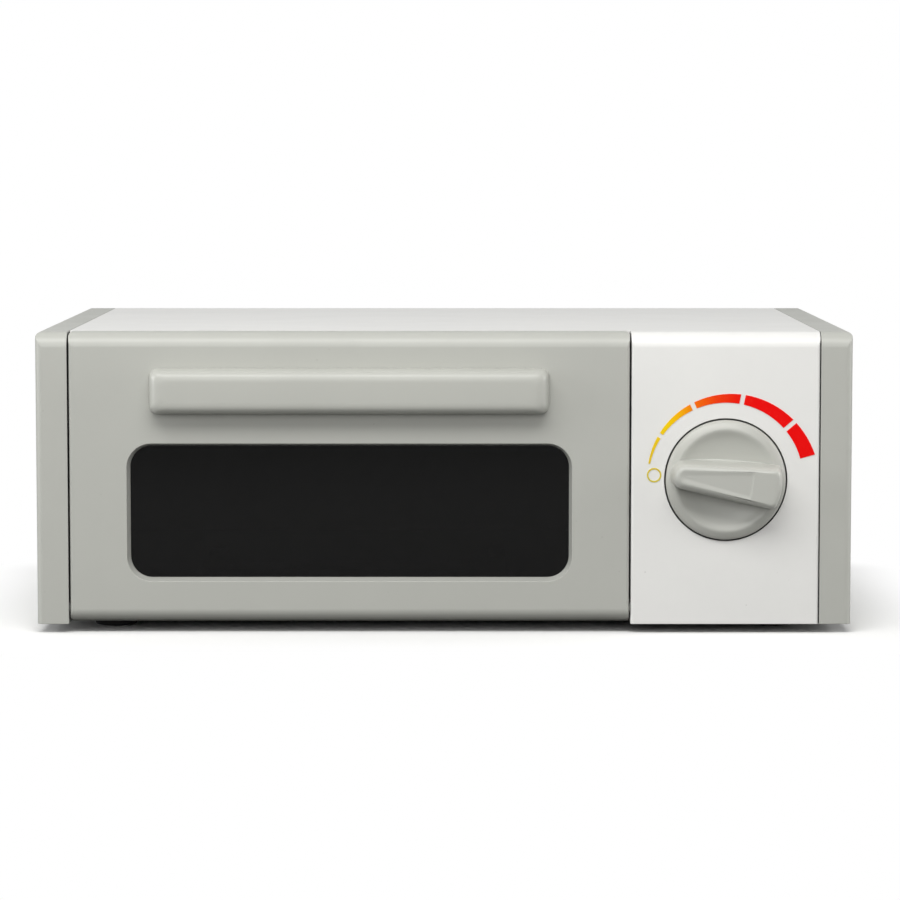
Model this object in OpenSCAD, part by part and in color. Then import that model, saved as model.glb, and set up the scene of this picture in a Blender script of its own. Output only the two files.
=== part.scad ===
// Toy toaster oven with a drop-down door, a heat knob, and light and sound inside.
// Origin: on the table, in the middle of the oven's footprint, knob included. The door faces -Y.

/* [Casing] */
// Width over both end caps
body_w = 270; // [240:1:320]
// Depth from the door's face to the back
body_d = 174; // [160:1:220]
// Height of the casing without its feet
body_h = 97; // [90:1:125]
// Wall of the casing's mouldings
wall = 2.2; // [1.8:0.1:2.8]
// Rounding of the long top edges
edge_r = 5; // [3:0.5:7]
// Rounding of the panel's upright edges
upright_r = 0.9; // [0.4:0.1:1.5]
// Width of an end cap
cap_w = 10.5; // [10:0.5:16]
// Rounding of an end cap's outer edges
cap_edge_r = 2; // [1:0.25:2.5]
// Seam between the shell and an end cap
cap_seam = 0.25; // [0.2:0.05:0.5]
// Length of the shell's tongue inside an end cap
tongue_l = 2; // [1:0.25:3]
// Thickness of the tongue
tongue_t = 1.2; // [0.8:0.1:1.6]
// General clearance between pieces that don't fit tightly
fit = 0.3; // [0.25:0.05:0.4]

/* [Side vents] */
// Number of rows of slots
vent_rows = 4; // [2:1:5]
// Slots in one row
vent_cols = 2; // [1:1:4]
// Height of one slot
vent_h = 2.6; // [1.5:0.1:3]
// Distance from one row to the next
vent_pitch = 5.2; // [4.5:0.1:6]
// Height of the lowest row above the casing's bottom
vent_rise = 21; // [18:1:26]
// Where the slots start behind the front
vent_start = 62; // [50:1:70]
// Length of a whole row
vent_run = 88; // [60:1:92]
// Bar left between two slots of a row
vent_web = 4; // [3:0.5:8]

/* [Feet] */
// How far a foot lifts the casing
foot_h = 3; // [2:0.25:5]
// Radius of a foot
foot_r = 7; // [5:0.25:9]
// Depth of the recess that a foot is glued in
foot_seat = 0.6; // [0.4:0.1:0.9]
// Distance of the feet from the casing's sides
foot_in_x = 24; // [21:1:26]
// Distance of the feet from the casing's front and back
foot_in_y = 24; // [22:1:30]

/* [Door] */
// Thickness of the door
door_t = 8; // [7.5:0.25:9]
// Gap all round the door
door_gap = 0.5; // [0.4:0.05:0.8]
// Height of the door's lower edge above the casing's bottom
door_rise = 1; // [0.8:0.1:2]
// Wall of the door's outer half
door_wall = 2.2; // [1.8:0.1:2.6]
// Thickness of the door's inner half
door_back_t = 1.8; // [1.4:0.1:2.2]
// Rounding of the door's corners, seen from the front
door_corner_r = 1.3; // [0.5:0.1:3]
// Radius of a hinge stub
stub_r = 2.5; // [2:0.1:2.8]
// Running clearance round a hinge stub
stub_play = 0.05; // [0.02:0.01:0.1]
// Extra thickness round a hinge bore
hinge_pad = 1.5; // [1:0.1:2]
// Distance from the door's sides to the window
window_side = 19.9; // [18:0.1:32]
// Distance from the door's lower edge to the window
window_rise = 14.2; // [13.6:0.1:20]
// Distance from the casing's top to the window
window_drop = 37.8; // [36:0.2:42]
// Radius of the window's corners
window_r = 7.2; // [4:0.1:12]
// How much wider the window's recess is at the front than at the pane
window_bevel = 0.9; // [0.6:0.1:1.8]
// Thickness of the pane
pane_t = 1.5; // [1:0.1:1.8]
// How far the pane reaches behind the frame
pane_lap = 4; // [2.5:0.25:4.5]

/* [Door handle] */
// Length of the handle
handle_w = 132; // [90:1:150]
// Height of the handle
handle_h = 15.1; // [12:0.1:18]
// How far the handle stands out
handle_reach = 7.5; // [6:0.25:10]
// Distance from the casing's top to the handle
handle_drop = 11.9; // [10:0.1:14]
// Slope of the handle's upper side, front to back
handle_slope_top = 1; // [0.5:0.1:2]
// Slope of the handle's lower side, front to back
handle_slope_bottom = 0.8; // [0.5:0.1:2]
// Slope of the handle's ends, front to back
handle_slope_end = 1.2; // [0.5:0.1:3]
// Rounding of the handle's front edges
handle_edge_r = 3.2; // [2:0.1:3.5]
// Rounding of the handle's corners at the door
handle_corner_r = 2.6; // [0.5:0.1:3]
// Wall of the handle
handle_wall = 1.8; // [1.4:0.1:2.2]
// Distance between the handle's two screws
handle_screw_span = 96; // [60:1:100]

/* [Control panel and knob] */
// Width of the control panel
panel_w = 62.6; // [60:0.2:70]
// Distance from the casing's top to the knob's centre
knob_drop = 48.9; // [44:0.1:52]
// Radius of the knob
knob_r = 19.9; // [17:0.1:21]
// Gap round the knob
knob_gap = 0.5; // [0.3:0.05:0.8]
// How far the knob's grip stands out of the panel
knob_reach = 11; // [9:0.25:13]
// How far the knob's rim stands out of the panel
rim_reach = 2.6; // [1.5:0.1:3.5]
// Width of the knob's rounded rim
rim_w = 3.9; // [2.5:0.1:5]
// Depth of the bowl inside the knob's rim
bowl_depth = 2.2; // [1:0.1:2.6]
// Depth of the cup that the knob sits in
cup_depth = 5; // [4.5:0.1:6]
// Turn of the grip at off, pointer end up
knob_tilt = 8; // [0:0.5:15]
// Width of the grip's pointer end
grip_tip_w = 9; // [7:0.25:10]
// Width of the grip's other end
grip_end_w = 15; // [11:0.25:16]
// Distance from the grip's ends to the knob's edge
grip_inset = 1.4; // [1:0.1:2.5]
// Radius of the knob's stem
stem_r = 4; // [3.5:0.1:4.5]
// Running clearance round the stem
stem_play = 0.05; // [0.02:0.01:0.1]
// Distance from the stem's axis to its flat
stem_flat = 2.9; // [2.6:0.1:3.3]

/* [Heat scale] */
// Inner radius of the arcs
scale_r = 25.6; // [24:0.1:27]
// Growth of the arcs' width for each degree
scale_growth = 0.033; // [0.02:0.001:0.036]
// Angle where the first arc starts
scale_from = 168; // [160:1:170]
// Angle where the last arc ends
scale_to = 16; // [10:1:30]
// Gap between two arcs
scale_gap = 1.5; // [0.8:0.1:2.5]
// Angles of the gaps
gap_angles = [146.1, 113.9, 78.6, 40.5]; // [25:0.1:160]
// Distance of the off ring from the knob's centre
off_r = 23.75; // [23.4:0.05:24.5]
// Angle of the off ring
off_angle = 176.25; // [175:0.25:180]
// Outer radius of the off ring
off_ring_r = 2.4; // [1.5:0.1:2.6]
// Line width of the off ring
off_line = 0.5; // [0.3:0.05:0.8]
// Thickness of the print
print_t = 0.15; // [0.1:0.05:0.3]

/* [Oven cavity] */
// Wall of the liner
liner_t = 1.8; // [1.4:0.1:2]
// Space between the liner and the casing beside it
liner_gap = 1.7; // [1.2:0.1:2]
// Space between the liner and the casing's back
liner_back_gap = 2.5; // [2.2:0.1:4]
// Height of the cavity's floor above the casing's bottom
floor_rise = 13; // [12:0.25:16]
// Distance from the casing's top to the cavity's ceiling
ceiling_drop = 6; // [5.6:0.1:8]
// Radius of the cavity's long corners
liner_r = 4; // [2:0.5:8]
// Distance between the floor's two grooves
groove_span = 100; // [80:1:120]
// Width of a groove
groove_w = 6; // [4:0.25:8]
// Depth of a groove
groove_d = 3; // [1.5:0.25:3]
// Length of a groove
groove_l = 92; // [60:1:110]
// Where the grooves start behind the liner's front
groove_start = 6; // [4:0.5:12]
// Height of the raised field between the grooves
field_h = 0.8; // [0.4:0.1:1.2]
// Depth of the raised field, front to back
field_l = 50; // [30:1:90]

/* [Cavity light] */
// Distance of the lamp behind the liner's front
lamp_in = 74; // [50:1:110]
// Distance from the casing's top to the lamp
lamp_drop = 28; // [24:1:40]
// Radius of the lens where it fills the liner's hole
lens_r = 8; // [6:0.25:9]
// Width of the lens's rim behind the wall
lens_rim = 2; // [1.5:0.25:2.5]
// How far the lens bulges into the cavity
lens_bulge = 1.2; // [0.6:0.1:2]
// Radius of the lamp
led_r = 2.5; // [1.5:0.25:2.5]
// Distance between the lamp board's screws
led_screw_span = 26; // [25:0.5:32]
// Distance of the lamp board from the liner
led_standoff = 9.5; // [8:0.25:12]

/* [Electronics] */
// Width and height of the circuit board
board_size = 54; // [50:1:56]
// Thickness of the boards
board_t = 1.6; // [1.2:0.1:2]
// Distance of the circuit board behind the panel's face
board_in = 16; // [15:0.25:20]
// Distance between the board's posts
board_post_span = 46; // [45:0.5:48]
// Radius of the resin drop over the sound chip
chip_r = 6.5; // [4:0.5:8]
// Height of the resin drop
chip_h = 1.9; // [1:0.1:2.5]
// Radius of the capacitor
capacitor_r = 3; // [2:0.25:4]
// Height of the capacitor
capacitor_h = 8; // [5:0.5:12]
// Radius of the speaker
speaker_r = 20; // [18:0.25:22]
// Depth of the speaker
speaker_depth = 13; // [11:0.5:16]
// Distance from the casing's top to the speaker's centre
speaker_drop = 42; // [38:1:46]
// Slots in the speaker's grille
grille_slots = 7; // [5:2:7]
// Height of a slot in the grille
grille_slot_h = 2; // [1.4:0.1:2.4]
// Distance from one slot to the next
grille_pitch = 4.4; // [3.8:0.1:4.6]

/* [Battery case] */
// Radius of an AA cell
cell_r = 7.25; // [5.25:0.05:7.25]
// Length of an AA cell
cell_l = 50.5; // [44.5:0.5:50.5]
// Distance between the two cells' axes
cell_pitch = 15.2; // [14.8:0.1:16]
// Room for the springs at one end
spring_room = 5; // [4:0.25:6]
// Wall of the battery box
box_wall = 1.6; // [1.2:0.1:2]
// Rim by which the box stands on the base plate
box_rim = 2.3; // [2:0.1:3]
// Distance of the battery box's middle behind the front
box_in = 88; // [75:1:100]
// Thickness of the battery cover
cover_t = 2; // [1.6:0.1:2.1]
// Length of the cover's screwed ends
cover_lug = 9; // [8.5:0.25:12]
// Turns of a battery spring
spring_turns = 3; // [2:1:4]
// Wire radius of a battery spring
spring_wire_r = 0.4; // [0.3:0.05:0.5]

/* [Screws] */
// Radius of a screw's shank
screw_r = 1.3; // [1:0.05:1.4]
// Radius of a screw's head
head_r = 2.8; // [2.4:0.1:3]
// Height of a screw's head
head_h = 1.1; // [0.8:0.05:1.2]
// Clearance of a screw in its pilot hole
pilot_play = 0.05; // [0.03:0.01:0.1]
// Radius of the bosses
boss_r = 3.5; // [3.2:0.1:3.8]
// Depth of a screw in its boss
screw_bite = 8; // [6:0.25:8.4]
// Length of the casing's bosses above the base plate
boss_l = 14; // [12:0.5:16]
// How far a boss reaches into the wall beside it
boss_sink = 0.5; // [0.2:0.1:1]
// Clearance round a screw's shank where it passes through
shank_play = 0.3; // [0.2:0.05:0.4]
// How much thinner the small screws are, in radius
small_screw = 0.2; // [0.1:0.05:0.3]

/* [Leads] */
// Radius of a lead
lead_r = 0.6; // [0.4:0.05:0.7]

/* [Hidden] */
$fn = 48;
white = "#f0efea";
grey = "#b9bab2";
liner_grey = "#8d9196";
steel = "#b8b8bc";
eps = 0.01;
over = 1;

// Casing planes
front_reach = max(knob_reach, handle_reach);
front_y = (front_reach - body_d) / 2;
back_y = front_y + body_d;
bottom_z = foot_h;
top_z = foot_h + body_h;
deck_z = bottom_z + wall;
inner_top_z = top_z - wall;
inner_front_y = front_y + wall;
inner_back_y = back_y - wall;
cap_x = body_w / 2;
cap_in_x = cap_x - cap_w;
shell_x = cap_in_x - cap_seam;
panel_x0 = cap_in_x - panel_w;
panel_x = (panel_x0 + cap_in_x) / 2;
knob_z = top_z - knob_drop;

// Door planes
door_x0 = -cap_in_x + door_gap;
door_x1 = panel_x0 - door_gap;
door_x = (door_x0 + door_x1) / 2;
door_z0 = bottom_z + door_rise;
door_back_y = front_y + door_t;
sill_y = door_back_y + door_gap;
hinge_y = front_y + door_t / 2;
hinge_z = door_z0 + door_t / 2;
hinge_wall_y = sill_y + 7;
hinge_bore_r = stub_r + stub_play;
door_skin_y = front_y + door_wall;
door_panel_y = door_back_y - door_back_t;
pocket_z0 = hinge_z + stub_r + 0.5;
window_x0 = door_x0 + window_side;
window_x1 = door_x1 - window_side;
window_z1 = top_z - window_drop;
window_z0 = door_z0 + window_rise;
window_z = (window_z0 + window_z1) / 2;
door_boss_r = 3;
door_screw_r = screw_r - small_screw;
door_screw_head = 0.9;
door_head_r = head_r - 0.6;
pane_play = 0.2;
// Front of the pane, which lies between the collar of door_front and door_back
pane_y0 = door_panel_y - pane_play - pane_t;
collar_t = 1.4;
inner_step = 0.5;
inner_step_w = 5;
door_boss_in = 10;
door_bosses = [for (x = [door_x0 + door_boss_in, door_x1 - door_boss_in],
                    z = [window_z0 - 2, window_z, top_z - 8]) [x, z]];
handle_screws_x = [for (s = [-1, 1]) door_x + s * handle_screw_span / 2];
handle_z1 = top_z - handle_drop;
handle_z0 = handle_z1 - handle_h;
handle_z = (handle_z0 + handle_z1) / 2;
handle_front_y = front_y - handle_reach;

// Knob planes, counted outwards from the panel's face
knob_back = -(cup_depth - 0.4);
cup_r = knob_r + knob_gap;
cup_floor = -(cup_depth + wall);
rotor_t = 3;
rotor_r = 12;
rotor_front = cup_floor - fit;
rotor_back = rotor_front - rotor_t;
wiper_t = 0.4;

// Cavity planes
liner_x0 = -cap_in_x + liner_gap;
liner_x1 = panel_x0 - liner_gap;
liner_x = (liner_x0 + liner_x1) / 2;
floor_z = bottom_z + floor_rise;
ceiling_z = top_z - ceiling_drop;
liner_back_y = inner_back_y - liner_back_gap;
cavity_back_y = liner_back_y - liner_t;
liner_boss_z = floor_z - liner_t - 5;
liner_bosses = [for (x = [liner_x0 + 22, liner_x1 - 20], y = [sill_y + 23, liner_back_y - 28]) [x, y]];
lamp_y = sill_y + lamp_in;
lamp_z = top_z - lamp_drop;
field_lines = 5;
field_line_w = 1.2;
field_line_d = 0.5;
led_board_x = liner_x1 + led_standoff;
led_post_r = 2.5;
led_screw_r = screw_r - 0.3;

// Screw places of the casing
seat_z = bottom_z + head_h + 0.1;
cap_boss_x = cap_x - wall - boss_r + boss_sink;
cap_bosses = [for (x = [-cap_boss_x, cap_boss_x], y = [front_y + 27, back_y - 18]) [x, y]];
panel_bosses = [for (x = [panel_x0 + 10, cap_in_x - 8]) [x, inner_front_y + boss_r - boss_sink]];
back_bosses = [for (x = [liner_x - 60, liner_x + 30]) [x, inner_back_y - boss_r + boss_sink]];
corner_boss = [cap_in_x - 15, inner_back_y - boss_r + boss_sink];
back_boss_top = floor_z - liner_t - fit;
rib_t = 1.5;
rib_h = 2.2;
rib_pitch = 40;
web_t = 1.4;
roof_rib_h = 5;

// Electronics places
board_y = front_y + board_in;
board_posts = [for (x = [-0.5, 0.5], z = [-0.5, 0.5])
    [panel_x + x * board_post_span, knob_z + z * board_post_span]];
speaker_z = top_z - speaker_drop;
board_post_r = boss_r - 0.5;
speaker_ledge = 1.2;
speaker_flange = 1.2;
speaker_seat = speaker_ledge + speaker_flange;
speaker_ring = 1.5;
magnet_r = speaker_r - 10.8;
magnet_t = 4;
speaker_post = speaker_r + boss_r + 0.4;

// Battery case places
box_x = panel_x;
box_y = front_y + box_in;
cell_clear = 0.4;
cell_z = deck_z + cell_r + cell_clear;
box_half_x = cell_pitch / 2 + cell_r + cell_clear;
box_half_y = (cell_l + spring_room) / 2 + 0.4;
box_top_z = cell_z + cell_r + cell_clear;
contact_t = 0.4;
spring_foot_r = 4.4;
spring_tip_r = 2.2;
cover_half_x = box_half_x + box_wall - 0.3;
cover_half_y = box_half_y + box_wall + cover_lug;
cover_screw_y = box_half_y + box_wall + cover_lug / 2;
box_lug_h = 7;
box_ear_z = deck_z + 4;
box_ear_t = 2;
box_rib_t = 1.2;
box_ear_x = box_half_x + box_wall + boss_r + 0.6;

// Lead routes: speaker and battery case to the socket on the board, lamp board to the circuit board
board_back_y = board_y + board_t;
socket_low = [panel_x + 4, board_back_y, knob_z - 20];
socket_size = [14, 6, 6];
chip_place = [panel_x - 8, board_back_y, knob_z + 6];
capacitor_place = [panel_x + 12, board_back_y, knob_z + 8];
resistor_size = [2, 1, 4];
resistor_places = [for (x = [-14, -9]) [panel_x + x, board_back_y, knob_z - 14]];
socket_y = board_back_y + socket_size.y;
socket_z = socket_low.z + socket_size.z / 2;
box_roof_z = box_top_z + box_wall;
speaker_back_y = inner_back_y - speaker_seat;
speaker_tab_z = speaker_z - speaker_r + 1.1;

function socket_entry(x) = [[x, socket_y + 2.5, socket_z], [x, socket_y, socket_z]];

function speaker_route(x, socket_x) = concat(
    [[x, speaker_back_y, speaker_tab_z], [x, speaker_back_y - 3, speaker_tab_z],
     [x, speaker_back_y - 14, speaker_tab_z - 7], [x, box_y + 40, box_roof_z + 2],
     [x, box_y + 20, box_roof_z + 1], [x, box_y - 18, box_roof_z + 1],
     [x + 2, box_y - 38, box_roof_z + 3], [socket_x, socket_y + 10, socket_z - 1]],
    socket_entry(socket_x));

function battery_route(x, socket_x) = concat(
    [[x, box_y - 24, box_roof_z], [x, box_y - 24, box_roof_z + 2.5], [x, box_y - 32, box_roof_z + 7],
     [socket_x, socket_y + 14, socket_z + 1]],
    socket_entry(socket_x));

function led_route(side) =
    let (x = led_board_x + board_t, z = lamp_z - 4.5 - 1.5 * side)
    [[x, lamp_y + side * 2, lamp_z], [x + 2.5, lamp_y + side * 2, lamp_z], [x + 6 + side, lamp_y - 8, z],
     [x + 7 + side, lamp_y - 40, z], [x + 7 + side, board_back_y + 3, z], [x + 7 + side, board_back_y, z]];

// Extrudes an outline drawn in Y and Z from x0 to x1
module along_x(x0, x1) {
    translate([x0, 0, 0]) rotate([90, 0, 90]) linear_extrude(x1 - x0) children();
}

// Extrudes an outline drawn in X and Z from y0 to y1
module along_y(y0, y1) {
    translate([0, y1, 0]) rotate([90, 0, 0]) linear_extrude(y1 - y0) children();
}

// Extrudes an outline drawn in X and Y from z0 to z1
module along_z(z0, z1) {
    translate([0, 0, z0]) linear_extrude(z1 - z0) children();
}

// Box between two corners
module block(low, high) {
    translate(low) cube(high - low);
}

// Rectangle between two corners
module rect(x0, y0, x1, y1) {
    translate([x0, y0]) square([x1 - x0, y1 - y0]);
}

// Rectangle with round corners
module round_rect(x0, y0, x1, y1, r) {
    rect(x0 + r, y0, x1 - r, y1);
    rect(x0, y0 + r, x1, y1 - r);
    for (x = [x0 + r, x1 - r], y = [y0 + r, y1 - r])
        translate([x, y]) circle(r);
}

// What rounding a square corner at (x, y) takes away. sx and sy point into the material.
module corner_cut(x, y, sx, sy, r) {
    difference() {
        translate([x + (sx > 0 ? -over : -r), y + (sy > 0 ? -over : -r)]) square(r + over);
        translate([x + sx * r, y + sy * r]) circle(r);
    }
}

// Fillet between the lines b to a and b to c
function fillet(a, b, c, r, n) =
    let (u = (a - b) / norm(a - b), v = (c - b) / norm(c - b),
         half = acos(u * v) / 2,
         m = b + (u + v) / norm(u + v) * r / sin(half),
         p = b + u * r / tan(half) - m,
         q = b + v * r / tan(half) - m,
         from = atan2(p.y, p.x),
         turn = atan2(q.y, q.x) - from,
         sweep = turn > 180 ? turn - 360 : turn < -180 ? turn + 360 : turn)
    [for (i = [0:n]) m + r * [cos(from + sweep * i / n), sin(from + sweep * i / n)]];

// Closed outline with its corners rounded, one radius for each corner
function soft_outline(pts, radii, n = 6) =
    let (k = len(pts))
    [for (i = [0:k - 1]) each radii[i] > 0
        ? fillet(pts[(i + k - 1) % k], pts[i], pts[(i + 1) % k], radii[i], n)
        : [pts[i]]];

// Frame of the knob: its axis points out of the panel
module at_knob() {
    translate([panel_x, front_y, knob_z]) rotate([90, 0, 0]) children();
}

// Frame of the speaker: its axis points into the casing
module at_speaker() {
    translate([panel_x, inner_back_y, speaker_z]) rotate([90, 0, 0]) children();
}

// Frame of the cavity lamp: its axis points from the liner into the panel's side
module at_lamp(x) {
    translate([x, lamp_y, lamp_z]) rotate([0, 90, 0]) children();
}

// Screw with its head from z = 0 to h and its shank beyond
module screw(shank, h = head_h, r = head_r, shank_r = screw_r) {
    cylinder(r = r, h = h);
    cylinder(r = shank_r, h = h + shank);
}

// Pilot hole from z = 0 upwards
module pilot(depth) {
    translate([0, 0, -eps]) cylinder(r = screw_r + pilot_play, h = depth + eps);
}

// Side outline of the casing, drawn in by inset
module casing_outline(inset, low_z) {
    r = max(edge_r - inset, 0.6);
    difference() {
        rect(front_y + inset, low_z, back_y - inset, top_z - inset);
        corner_cut(front_y + inset, top_z - inset, 1, -1, r);
        corner_cut(back_y - inset, top_z - inset, -1, -1, r);
    }
}

// Tongue at one end of the shell. It lies inside the end cap's wall.
module shell_tongue(side) {
    root = 4;
    inner = wall + fit + tongue_t;
    low_z = deck_z + 3;
    from_y = side < 0 ? hinge_wall_y + over : front_y - over;
    x0 = side < 0 ? -shell_x - tongue_l : shell_x - root;
    intersection() {
        union() {
            along_x(x0, x0 + root + tongue_l) difference() {
                casing_outline(wall + fit, low_z);
                casing_outline(inner, low_z - over);
            }
            along_x(side < 0 ? -shell_x : shell_x - root, side < 0 ? root - shell_x : shell_x) difference() {
                casing_outline(wall - 0.4, low_z);
                casing_outline(inner, low_z - over);
            }
        }
        block([-cap_x, from_y, 0], [cap_x, back_y, top_z]);
    }
}

// Slots of the speaker's grille, inside a circle
module grille_cuts() {
    reach = speaker_r - 4;
    for (i = [0:grille_slots - 1]) {
        z = (i - (grille_slots - 1) / 2) * grille_pitch;
        half = sqrt(reach * reach - z * z);
        translate([0, z, -wall - over]) linear_extrude(wall + 2 * over)
            round_rect(-half, -grille_slot_h / 2, half, grille_slot_h / 2, grille_slot_h / 2 - eps);
    }
}

module body_shell() {
    color(white)
    difference() {
        union() {
            difference() {
                along_x(-shell_x, shell_x) casing_outline(0, bottom_z);
                along_x(-cap_x, cap_x) casing_outline(wall, bottom_z - over);
                block([-cap_x, front_y - over, 0], [panel_x0, sill_y, top_z + over]);
                along_z(0, top_z + over) corner_cut(panel_x0, front_y, 1, 1, upright_r);
                along_z(0, top_z + over) corner_cut(shell_x, front_y, -1, 1, upright_r);
            }
            // Lip over the cavity, in front of the gap above the liner
            block([-shell_x, sill_y, ceiling_z + liner_t + fit],
                  [panel_x0 + eps, sill_y + wall, inner_top_z + eps]);
            // Wall between the door and the panel, with the pad of the right hinge bore
            block([panel_x0, front_y + upright_r, bottom_z],
                  [panel_x0 + wall, hinge_wall_y, inner_top_z + eps]);
            block([panel_x0 + wall - eps, inner_front_y - eps, deck_z + fit],
                  [panel_x0 + wall + hinge_pad, hinge_wall_y, hinge_z + 6]);
            shell_tongue(-1);
            shell_tongue(1);
            at_knob() {
                translate([0, 0, cup_floor]) cylinder(r = cup_r + wall, h = -cup_floor - 0.5, $fn = 96);
                // Webs between the cup and the board's posts
                for (a = [45:90:315])
                    rotate(a) block([cup_r + wall - 0.5, -web_t / 2, cup_floor],
                                    [board_post_span / sqrt(2) - 1, web_t / 2, boss_sink - wall]);
            }
            // Ribs under the roof of the panel's side
            for (i = [-1:1])
                translate([panel_x + i * rib_pitch / 2, 0, 0])
                    block([-web_t / 2, inner_front_y - eps, inner_top_z - roof_rib_h],
                          [web_t / 2, inner_back_y + eps, inner_top_z + eps]);
            for (p = board_posts)
                translate([p.x, board_y, p.y]) rotate([90, 0, 0])
                    cylinder(r = board_post_r, h = board_in - wall + boss_sink);
            for (p = concat(panel_bosses, [corner_boss]))
                translate([p.x, p.y, deck_z]) cylinder(r = boss_r, h = boss_l);
            for (p = back_bosses)
                translate([p.x, p.y, deck_z]) cylinder(r = boss_r, h = back_boss_top - deck_z);
            at_speaker() translate([0, 0, -boss_sink]) {
                cylinder(r = speaker_r + fit + speaker_ring, h = boss_sink + speaker_seat);
                for (s = [-1, 1])
                    translate([s * speaker_post, 0, 0]) cylinder(r = boss_r, h = boss_sink + speaker_seat);
            }
        }
        // The knob's cup and the bore of its stem
        at_knob() {
            translate([0, 0, -cup_depth]) cylinder(r = cup_r, h = cup_depth + over, $fn = 96);
            translate([0, 0, cup_floor - over]) cylinder(r = stem_r + stem_play, h = wall + 2 * over);
        }
        // Hinge bore
        translate([panel_x0 - over, hinge_y, hinge_z]) rotate([0, 90, 0])
            cylinder(r = hinge_bore_r, h = wall + hinge_pad + 2 * over);
        for (p = board_posts)
            translate([p.x, board_y, p.y]) rotate([90, 0, 0]) pilot(screw_bite);
        for (p = concat(panel_bosses, [corner_boss]))
            translate([p.x, p.y, deck_z]) pilot(screw_bite + 1);
        for (p = back_bosses)
            translate([p.x, p.y, deck_z]) pilot(back_boss_top - deck_z - 0.6);
        at_speaker() {
            grille_cuts();
            cylinder(r = speaker_r - 3, h = speaker_depth);
            translate([0, 0, speaker_ledge]) cylinder(r = speaker_r + fit, h = speaker_depth);
            for (s = [-1, 1])
                translate([s * speaker_post, 0, -wall / 2])
                    cylinder(r = screw_r + pilot_play, h = speaker_depth);
        }
    }
}

// Ground outline of the base plate. It leaves room for the door's hinge walls.
module base_outline() {
    low_x = cap_x - wall - fit;
    back = inner_back_y - fit;
    rect(-low_x, hinge_wall_y + fit, low_x, back);
    rect(-low_x, inner_front_y + fit, -cap_in_x - wall - fit, hinge_wall_y + over);
    rect(-cap_in_x + fit, sill_y, panel_x0 - fit, hinge_wall_y + over);
    rect(panel_x0 + wall + fit, inner_front_y + fit, low_x, hinge_wall_y + over);
}

module base_plate() {
    color(grey)
    difference() {
        union() {
            along_z(bottom_z, deck_z) base_outline();
            for (p = liner_bosses)
                along_z(bottom_z + eps, liner_boss_z) translate(p) circle(boss_r + 0.5);
            for (s = [-1, 1])
                along_z(bottom_z + eps, box_ear_z) translate([box_x + s * box_ear_x, box_y]) circle(boss_r);
            // Ribs that stiffen the floor under the cavity
            for (i = [1:3])
                block([liner_x0 + 8, sill_y + 5 + i * rib_pitch, bottom_z + eps],
                      [liner_x1 - 8, sill_y + 5 + i * rib_pitch + rib_t, deck_z + rib_h]);
        }
        for (p = feet_places())
            translate([p.x, p.y, bottom_z - over]) cylinder(r = foot_r + fit, h = over + foot_seat);
        for (p = concat(base_screw_places(), liner_bosses))
            translate([p.x, p.y, 0]) {
                cylinder(r = head_r + fit, h = seat_z);
                cylinder(r = screw_r + shank_play, h = liner_boss_z + over);
            }
        for (s = [-1, 1])
            translate([box_x + s * box_ear_x, box_y, bottom_z + 0.8])
                cylinder(r = screw_r + pilot_play, h = box_ear_z);
        along_z(bottom_z - over, deck_z + over)
            round_rect(box_x - cover_half_x - fit, box_y - cover_half_y - fit,
                       box_x + cover_half_x + fit, box_y + cover_half_y + fit, 2 + fit);
    }
}

function feet_places() =
    [for (s = [-1, 1], y = [front_y + foot_in_y, back_y - foot_in_y]) [s * (cap_x - foot_in_x), y]];

function base_screw_places() = concat(cap_bosses, panel_bosses, back_bosses, [corner_boss]);

// An end cap, drawn for the right-hand side
module end_cap_body() {
    difference() {
        intersection() {
            along_x(cap_in_x, cap_x) casing_outline(0, bottom_z);
            along_z(0, top_z + over) difference() {
                rect(cap_in_x, front_y, cap_x, back_y);
                corner_cut(cap_x, front_y, -1, 1, cap_edge_r);
                corner_cut(cap_x, back_y, -1, -1, cap_edge_r);
            }
            along_y(front_y, back_y) difference() {
                rect(cap_in_x, bottom_z, cap_x, top_z);
                corner_cut(cap_x, top_z, -1, -1, cap_edge_r);
            }
        }
        along_x(cap_in_x - over, cap_x - wall) casing_outline(wall, bottom_z - over);
        vent_cuts();
    }
    for (p = cap_bosses)
        if (p.x > 0) difference() {
            union() {
                translate([p.x, p.y, deck_z]) cylinder(r = boss_r, h = boss_l);
                // Gusset from the boss up the cap's side
                along_y(p.y - web_t / 2, p.y + web_t / 2)
                    polygon([[p.x - boss_r + boss_sink, deck_z + boss_l - 2], [p.x, deck_z + boss_l - 2],
                             [cap_x - wall + boss_sink, deck_z + boss_l - 2],
                             [cap_x - wall + boss_sink, deck_z + boss_l + 6]]);
            }
            translate([p.x, p.y, deck_z]) pilot(screw_bite + 1);
        }
}

// Vent slots through the right cap's side
module vent_cuts() {
    slot = (vent_run - (vent_cols - 1) * vent_web) / vent_cols;
    for (i = [0:vent_rows - 1], j = [0:vent_cols - 1]) {
        z = bottom_z + vent_rise + i * vent_pitch;
        y = front_y + vent_start + j * (slot + vent_web);
        along_x(cap_x - wall - over, cap_x + over)
            round_rect(y, z, y + slot, z + vent_h, vent_h / 2 - eps);
    }
}

module left_end_cap() {
    color(grey)
    difference() {
        union() {
            mirror([1, 0, 0]) end_cap_body();
            block([-cap_in_x - wall, front_y + wall - eps, bottom_z],
                  [-cap_in_x, hinge_wall_y, inner_top_z + eps]);
            block([-cap_in_x - wall, front_y + 0.6, bottom_z], [-cap_in_x, front_y + wall, top_z - edge_r]);
            block([-cap_in_x - wall - hinge_pad, inner_front_y - eps, deck_z + fit],
                  [-cap_in_x - wall + eps, hinge_wall_y, hinge_z + 6]);
        }
        translate([-cap_in_x + over, hinge_y, hinge_z]) rotate([0, -90, 0])
            cylinder(r = hinge_bore_r, h = wall + hinge_pad + 2 * over);
    }
}

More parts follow.
